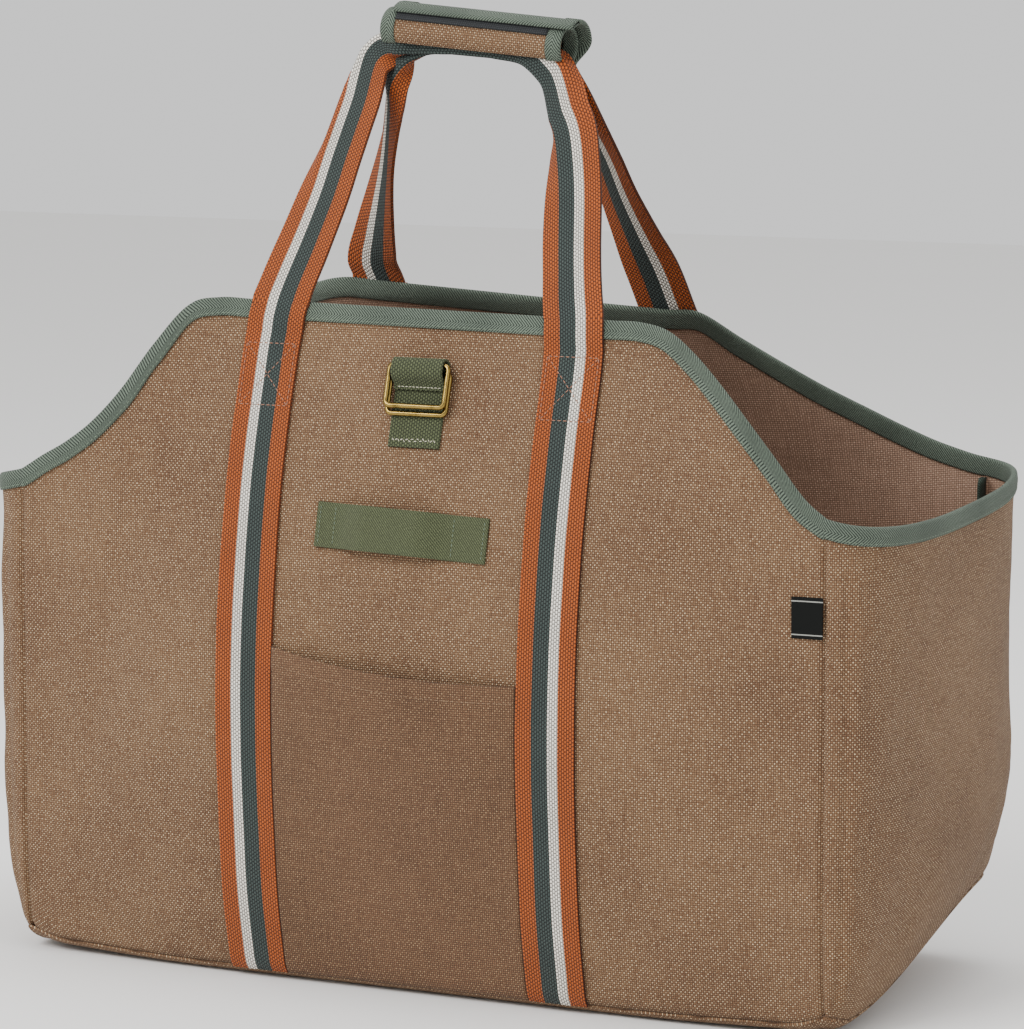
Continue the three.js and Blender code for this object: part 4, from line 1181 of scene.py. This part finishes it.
class CARRIER_OT_wrap(bpy.types.Operator):
    """Canvas wrap over the grip, with its bound edges and its hook tape"""
    bl_idname = "carrier.wrap"
    bl_label = "Grip wrap"

    def execute(self, context):
        half = WRAP_LENGTH / 2
        canvas_half = half - WRAP_BINDING_WIDTH - GAP
        line, across, shift = wrap_line()
        x = steps(-canvas_half - 4, canvas_half + 4, 2.5)
        points = in_wrap(x[None, :] + shift[:, None], line[:, None, :])
        lay = np.stack(np.broadcast_arrays(x[None, :], lengths(line)[:, None]), -1)
        first = in_wrap(0.0, line[0] + across[0]) - in_wrap(0.0, line[0])
        piece = cloth("wrap_cloth", points, lay, first, material("canvas"))
        thicken(piece, 1.5, 0)
        settle(piece, "bag", "canvas", "wrap_canvas")
        wrap_tape("wrap_tape_left", "wrap_end_binding_left", (-canvas_half, -half), line, across, shift)
        wrap_tape("wrap_tape_right", "wrap_end_binding_right", (canvas_half, half), line, across, shift)
        x = steps(-half, half, 2.5) + FLAP_SHIFT
        angle = steps(FLAP_END + 2, FLAP_END + 30, 4.0)
        outside, inside = wrap_point(angle, LAYER_STEP + 1.0), wrap_point(angle[::-1], LAYER_STEP - 1.0)
        tip = wrap_point(np.array([FLAP_END + 33.5, FLAP_END + 35, FLAP_END + 33.5]), 0) \
            * np.array([[(WRAP_HALF[0] + LAYER_STEP + o) / WRAP_HALF[0]] for o in (0.6, 0, -0.6)])
        section = np.concatenate([outside, tip, inside])
        points = in_wrap(x[None, :], section[:, None, :])
        lay = np.stack(np.broadcast_arrays(lengths(section)[:, None] - 4.5, x[None, :]), -1)
        first = in_wrap(0.0, section[0] * 1.1) - in_wrap(0.0, section[0])
        piece = cloth("wrap_tape_flap", points, lay, first, material("tape"))
        thicken(piece, 0.8, 0)
        settle(piece, "bag", "binding_tape", "wrap_edge_binding")
        x = steps(-canvas_half, canvas_half, 3.0)
        section = wrap_point(steps(FLAP_END, FLAP_END + 54, 4.0), WRAP_BAND / 2 + GAP + 0.5)
        points = in_wrap(x[None, :], section[:, None, :])
        lay = np.stack(np.broadcast_arrays(x[None, :], lengths(section)[:, None]), -1)
        first = in_wrap(0.0, section[0] * 1.1) - in_wrap(0.0, section[0])
        piece = cloth("wrap_hooks", points, lay, first, material("hook"))
        thicken(piece, 1.0, 0)
        settle(piece, "bag", "hook_tape", "wrap_hook_tape")
        return {"FINISHED"}


def front_frame(x, z, tilt=0.0):
    """Turn and place of the flat plane that lies on the front at a point."""
    plain = lifted(x, -wall_depth(-1, np.float64(x), np.float64(z)), z)
    normal = Vector(wall_normal(-1, x, z))
    turn = Vector((0, -1, 0)).rotation_difference(normal).to_matrix()
    turn = turn @ Matrix.Rotation(tilt, 3, "Y")
    return np.array(turn), np.array(plain)


def in_frame(plane, points):
    turn, place = plane
    return points @ turn.T + place


def along_line(name, node, plane, line, half_width, middle, finish, slot, thickness):
    """Webbing that follows a line of (y, z) in a plane on the front, so wide in X."""
    x = steps(-half_width, half_width, 1.7)
    points = np.stack(np.broadcast_arrays(x[None, :], line[:, 0][:, None], line[:, 1][:, None]), -1)
    lay = np.stack(np.broadcast_arrays(x[None, :] + middle, lengths(line)[:, None]), -1)
    first = np.cross((1, 0, 0), np.append([0.0], line[1] - line[0]))
    piece = cloth(name, in_frame(plane, points), lay, plane[0] @ first, finish)
    thicken(piece, thickness, 0)
    soften(piece, 0.4)
    settle(piece, "bag", slot, node)
    return piece


REAR_BAR_Y = -(GAP + OLIVE + GAP + RING_WIRE / 2)
FRONT_BAR_Y = REAR_BAR_Y - RING_WIRE - GAP
FRONT_BAR_Z = -(OLIVE + GAP + RING_WIRE / 2 + 1)


def ring_plane():
    """The plane of the ring webbing, with its middle moved to the top of the fold."""
    turn, place = front_frame(RING_X, RING_LOOP_TOP - RING_LOOP_LENGTH / 2)
    return turn, place + turn @ np.array((0.0, 0.0, RING_LOOP_LENGTH / 2))


class CARRIER_OT_rings(bpy.types.Operator):
    """Two rectangular rings of brass wire in their fold of webbing"""
    bl_idname = "carrier.rings"
    bl_label = "Rings"

    def execute(self, context):
        plane = ring_plane()
        back, top = -GAP - OLIVE / 2, -OLIVE / 2
        flap = FRONT_BAR_Y - RING_WIRE / 2 - GAP - OLIVE / 2
        keys = np.array([
            (back, -RING_LOOP_LENGTH), (back, -RING_LOOP_LENGTH * 0.7), (back, -RING_LOOP_LENGTH / 2),
            (back, top - 8), (back, top - 3), (back - 1.2, top - 0.8), (back - 3.4, top),
            (flap + 3.4, top),
            (flap + 1.2, top - 0.8), (flap, top - 3), (flap, FRONT_BAR_Z - RING_DROP - RING_WIRE / 2),
            (back - OLIVE - GAP - 0.6, -RING_FLAP), (back - OLIVE - GAP, -RING_FLAP - 3),
        ])
        run = lengths(keys)
        line = through(run, keys, steps(0, run[-1], 1.2))
        along_line("ring_webbing", "ring_loop_webbing", plane, line, RING_LOOP_WIDTH / 2, 17.0,
                   material("olive"), "olive_webbing", OLIVE)
        wide, tall = RING_SIZE[0] / 2 - RING_WIRE / 2, RING_SIZE[1] - RING_WIRE
        corners = ((wide, 0, 90), (wide, -tall, 0), (-wide, -tall, -90), (-wide, 0, -180))
        for name, node, body, y, z in (
                ("brass_ring_front", "rect_ring_front", "ring_front", FRONT_BAR_Y, FRONT_BAR_Z),
                ("brass_ring_rear", "rect_ring_rear", "ring_rear", REAR_BAR_Y, FRONT_BAR_Z - RING_DROP)):
            points = []
            for x_corner, z_corner, start in corners:
                centre_x = x_corner - math.copysign(RING_CORNER, x_corner)
                centre_z = -RING_CORNER if z_corner == 0 else z_corner + RING_CORNER
                for turn in np.linspace(start, start - 90, 9):
                    angle = math.radians(turn)
                    points.append((centre_x + RING_CORNER * math.cos(angle), y,
                                   z + centre_z + RING_CORNER * math.sin(angle)))
            points = in_frame(plane, np.array(points)) * MM
            wire = bpy.data.curves.new(name, "CURVE")
            wire.dimensions = "3D"
            wire.bevel_depth = RING_WIRE / 2 * MM
            wire.bevel_resolution = 6
            spline = wire.splines.new("POLY")
            spline.points.add(len(points) - 1)
            for point, place in zip(spline.points, points):
                point.co = (*place, 1.0)
            spline.use_cyclic_u = True
            guide = bpy.data.objects.new(name + "_line", wire)
            context.scene.collection.objects.link(guide)
            mesh = bpy.data.meshes.new_from_object(guide.evaluated_get(context.evaluated_depsgraph_get()))
            bpy.data.objects.remove(guide)
            mesh.name = name
            mesh.materials.clear()
            mesh.shade_smooth()
            piece = new_object(name, mesh, material("brass"))
            settle(piece, body, "brass", node)
        return {"FINISHED"}


def tool_loop_height(x):
    """How far the tool loop stands off the canvas along its length."""
    half = TOOL_LOOP_SIZE[0] / 2
    left, right = -half + TOOL_LOOP_ENDS[0], half - TOOL_LOOP_ENDS[1]
    share = (x - left) / (right - left)
    return TOOL_LOOP_PROUD * ease(share / 0.3) * ease((1 - share) / 0.3)


class CARRIER_OT_tool_loop(bpy.types.Operator):
    """Tool loop of olive webbing, stitched down at both ends"""
    bl_idname = "carrier.tool_loop"
    bl_label = "Tool loop"

    def execute(self, context):
        plane = front_frame(*TOOL_LOOP_AT, TOOL_LOOP_TILT)
        x = steps(-TOOL_LOOP_SIZE[0] / 2, TOOL_LOOP_SIZE[0] / 2, 1.2)[None, :]
        z = steps(-TOOL_LOOP_SIZE[1] / 2, TOOL_LOOP_SIZE[1] / 2, 1.5)[:, None]
        y = -GAP - OLIVE / 2 - tool_loop_height(x) + 0 * z
        points = np.stack(np.broadcast_arrays(x, y, z), -1)
        lay = np.stack(np.broadcast_arrays(x, z), -1)
        piece = cloth("tool_loop_cloth", in_frame(plane, points), lay, (0, -1, 0),
                      material("olive_twill"))
        thicken(piece, OLIVE, 0)
        soften(piece, 0.5)
        settle(piece, "bag", "olive_webbing", "tool_loop")
        return {"FINISHED"}


def pocket_mouth(share):
    return POCKET_TOP - POCKET_SAG * (1 - share**2) - POCKET_DROP * (share + 1) / 2


def on_pocket(share, z, out=0.0):
    open_share = (1 - share**2) * ease(z / POCKET_TOP) ** 2
    hem = 0.7 * ramp(z, pocket_mouth(share) - 13.0, pocket_mouth(share) - 11.5)
    return on_wall(-1, share * (STRAP_IN - GAP), z, GAP + CANVAS + POCKET_GAPE * open_share + hem + out)


class CARRIER_OT_pocket(bpy.types.Operator):
    """Patch pocket between the front straps"""
    bl_idname = "carrier.pocket"
    bl_label = "Pocket"

    def execute(self, context):
        share = steps(-1.0, 1.0, 0.03)[None, :]
        bottom = BASE_LIP + GAP
        z = bottom + (pocket_mouth(share) - bottom) * steps(0.0, 1.0, 0.012)[:, None]
        share = np.broadcast_to(share, z.shape)
        lay = np.stack([share * (STRAP_IN - GAP), z], -1)
        piece = cloth("pocket_cloth", on_pocket(share, z), lay, (0, -1, 0), material("pocket"))
        thicken(piece, CANVAS, -1)
        settle(piece, "bag", "canvas", "pocket_panel")
        return {"FINISHED"}


class CARRIER_OT_tag(bpy.types.Operator):
    """Small woven tag in the front right corner seam"""
    bl_idname = "carrier.tag"
    bl_label = "Side tag"

    def execute(self, context):
        wide, tall = TAG_SIZE
        turn, place = front_frame(SEAM_X - GAP - wide / 2, TAG_MIDDLE)
        x = steps(-wide / 2, wide / 2, 1.0)[None, :]
        z = steps(-tall / 2, tall / 2, 1.0)[:, None]
        curl = 0.7 * ease((-x) / (wide / 2)) * (0.6 + 0.4 * np.sin(z / 7.0))
        points = np.stack(np.broadcast_arrays(x, -GAP - 0.4 - curl, z), -1)
        lay = np.stack(np.broadcast_arrays(x, z), -1)
        piece = cloth("tag_cloth", in_frame((turn, place), points), lay, (0, -1, 0), material("tag"))
        thicken(piece, 0.8, 0)
        soften(piece, 0.25)
        settle(piece, "bag", "tag_cloth", "side_tag")
        return {"FINISHED"}


def strap_stitch_lines(side_x):
    """The square and the cross of stitching that holds a front strap below the rim."""
    middle, half, top = side_x * STRAP_X, STRAP_WIDTH / 2 - 2.5, CENTRE_RIM - 22.0
    low = top - 36.0
    corners = ((middle - half, top), (middle + half, top), (middle + half, low), (middle - half, low))
    paths = [(corners[i], corners[(i + 1) % 4]) for i in range(4)]
    paths += [(corners[0], corners[2]), (corners[1], corners[3])]
    lines = []
    for (x0, z0), (x1, z1) in paths:
        x, z = np.linspace(x0, x1, 12), np.linspace(z0, z1, 12)
        lines.append((on_wall(-1, x, z, GAP + WEBBING + 0.12), wall_normal(-1, x, z)))
    return lines


def plane_lines(plane, paths, height):
    """Stitch lines from (x, z) paths in a plane on the front, at a height above it."""
    lines = []
    for path in paths:
        path = np.array(path, float)
        run = lengths(path)
        at = steps(0.0, run[-1], 2.0)
        x, z = np.interp(at, run, path[:, 0]), np.interp(at, run, path[:, 1])
        points = np.stack([x, 0 * x - height(x, z), z], -1)
        normal = plane[0] @ np.array((0.0, -1.0, 0.0))
        lines.append((in_frame(plane, points), np.tile(normal, (len(at), 1))))
    return lines


class CARRIER_OT_stitches(bpy.types.Operator):
    """Rows of thread on the straps, the pocket, the tape and the webbing"""
    bl_idname = "carrier.stitches"
    bl_label = "Stitches"

    def execute(self, context):
        lines = strap_stitch_lines(-1) + strap_stitch_lines(1)
        sew("strap_stitches", lines, 3.4, 2.6, 0.6, material("orange_thread"), "striped_webbing")
        share = np.linspace(-0.99, 0.99, 90)
        z = pocket_mouth(share) - 10.0
        normals = wall_normal(-1, share * STRAP_IN, z)
        hem = [(on_pocket(share, z, 0.1), normals)]
        sew("pocket_stitches", hem, 3.2, 2.4, 0.55, material("tan_thread"), "canvas")
        plane = ring_plane()
        half = RING_LOOP_WIDTH / 2 - 2.5
        zigzag = [(-half + k * 1.7, -RING_LOOP_LENGTH + (3.2 if k % 2 else 5.4))
                  for k in range(int(2 * half / 1.7) + 1)]
        flap = [(-half, -RING_FLAP - 1.2), (half, -RING_FLAP - 1.2)]
        lines = plane_lines(plane, [zigzag], lambda x, z: GAP + OLIVE + 0.1)
        lines += plane_lines(plane, [flap], lambda x, z: 2 * (GAP + OLIVE) + 0.2)
        sew("ring_stitches", lines, 2.3, 2.0, 0.6, material("pale_thread"), "olive_webbing")
        plane = front_frame(*TOOL_LOOP_AT, TOOL_LOOP_TILT)
        wide, tall = TOOL_LOOP_SIZE[0] / 2, TOOL_LOOP_SIZE[1] / 2 - 2.2
        right, left = wide - TOOL_LOOP_ENDS[1] - 0.5, -wide + TOOL_LOOP_ENDS[0] + 0.5
        paths = [[(right, -tall), (right, tall)], [(wide - 2.5, -tall), (wide - 2.5, tall)],
                 [(-wide + 2.5, -tall), (-wide + 2.5, tall)], [(left, -tall), (left, tall)]]
        lines = plane_lines(plane, paths, lambda x, z: GAP + OLIVE + tool_loop_height(x) + 0.1)
        sew("tool_loop_stitches", lines, 2.6, 2.1, 0.5, material("green_thread"), "olive_webbing")
        share = steps(0.0, 1.0, 2.0 / LAP_LENGTH)
        rim, steep = lap_rim(share)
        points = on_lap(share, rim - 7.6 * steep, GAP + TAPE + 0.25)
        normals = on_lap(share, rim - 7.6 * steep, 2.0) - on_lap(share, rim - 7.6 * steep, 0.0)
        sew("rim_stitches", [(points, normals)], 3.4, 2.4, 0.5, material("green_thread"), "binding_tape")
        return {"FINISHED"}


class CARRIER_OT_stage(bpy.types.Operator):
    """Pale floor, soft studio light and the camera"""
    bl_idname = "carrier.stage"
    bl_label = "Stage"

    def execute(self, context):
        options = context.scene.carrier_stage
        made = bmesh.new()
        bmesh.ops.create_grid(made, x_segments=1, y_segments=1, size=6.0)
        mesh = bpy.data.meshes.new("floor")
        made.to_mesh(mesh)
        made.free()
        floor = new_object("floor", mesh, stage_material("painted_board", "#f4f3f1"))
        world = bpy.data.worlds.new("studio")
        world.use_nodes = True
        world.node_tree.nodes["Background"].inputs["Color"].default_value = (1.0, 1.0, 1.0, 1.0)
        world.node_tree.nodes["Background"].inputs["Strength"].default_value = options.world
        context.scene.world = world
        target = Vector((0.0, 0.0, 0.28))
        for name, place, size, share in (
                ("key_light", (-0.8, -2.4, 2.3), 1.6, 1.0),
                ("fill_light", (2.4, -1.6, 1.2), 1.8, 0.10),
                ("top_light", (0.2, 0.4, 2.8), 1.8, 0.45)):
            lamp = bpy.data.lights.new(name, "AREA")
            lamp.energy = options.light * share
            lamp.size = size
            light = bpy.data.objects.new(name, lamp)
            light.location = place
            light.rotation_euler = (target - Vector(place)).to_track_quat("-Z", "Y").to_euler()
            context.scene.collection.objects.link(light)
        azimuth, elevation = math.radians(CAMERA_AZIMUTH), math.radians(CAMERA_ELEVATION)
        level = Vector((math.sin(azimuth), -math.cos(azimuth), 0.0)) * math.cos(elevation)
        back = level + Vector((0.0, 0.0, math.sin(elevation)))
        lens = bpy.data.cameras.new("camera")
        lens.sensor_width = SENSOR
        lens.lens = SENSOR * CAMERA_FOCAL
        lens.clip_start, lens.clip_end = 0.1, 50.0
        camera = bpy.data.objects.new("camera", lens)
        camera.location = Vector(CAMERA_AIM) + back * CAMERA_DISTANCE
        camera.rotation_euler = (-back).to_track_quat("-Z", "Y").to_euler()
        context.scene.collection.objects.link(camera)
        context.scene.camera = camera
        return {"FINISHED"}


class CARRIER_PT_panel(bpy.types.Panel):
    """Lists the settings and the pieces of the log carrier"""
    bl_idname = "CARRIER_PT_panel"
    bl_label = "Log carrier"
    bl_space_type = "VIEW_3D"
    bl_region_type = "UI"
    bl_category = "Log carrier"

    def draw(self, context):
        for group in SETTINGS:
            options = getattr(context.scene, group)
            for name in options.__annotations__:
                self.layout.prop(options, name)
        for operator in OPERATORS:
            self.layout.operator(operator.bl_idname)


SETTINGS = {
    "carrier_canvas": CarrierCanvas,
    "carrier_webbing": CarrierWebbing,
    "carrier_fittings": CarrierFittings,
    "carrier_stage": CarrierStage,
}
OPERATORS = (
    CARRIER_OT_walls, CARRIER_OT_base, CARRIER_OT_rim, CARRIER_OT_seams, CARRIER_OT_handles,
    CARRIER_OT_wrap, CARRIER_OT_rings, CARRIER_OT_tool_loop, CARRIER_OT_pocket, CARRIER_OT_tag,
    CARRIER_OT_stitches, CARRIER_OT_stage,
)


def register():
    for cls in (*SETTINGS.values(), *OPERATORS, CARRIER_PT_panel):
        bpy.utils.register_class(cls)
    for name, group in SETTINGS.items():
        setattr(bpy.types.Scene, name, bpy.props.PointerProperty(type=group))


def unregister():
    for name in SETTINGS:
        delattr(bpy.types.Scene, name)
    for cls in (CARRIER_PT_panel, *reversed(OPERATORS), *SETTINGS.values()):
        bpy.utils.unregister_class(cls)


def main():
    register()
    for operator in OPERATORS:
        group, name = operator.bl_idname.split(".")
        getattr(getattr(bpy.ops, group), name)()


if __name__ == "__main__":
    main()
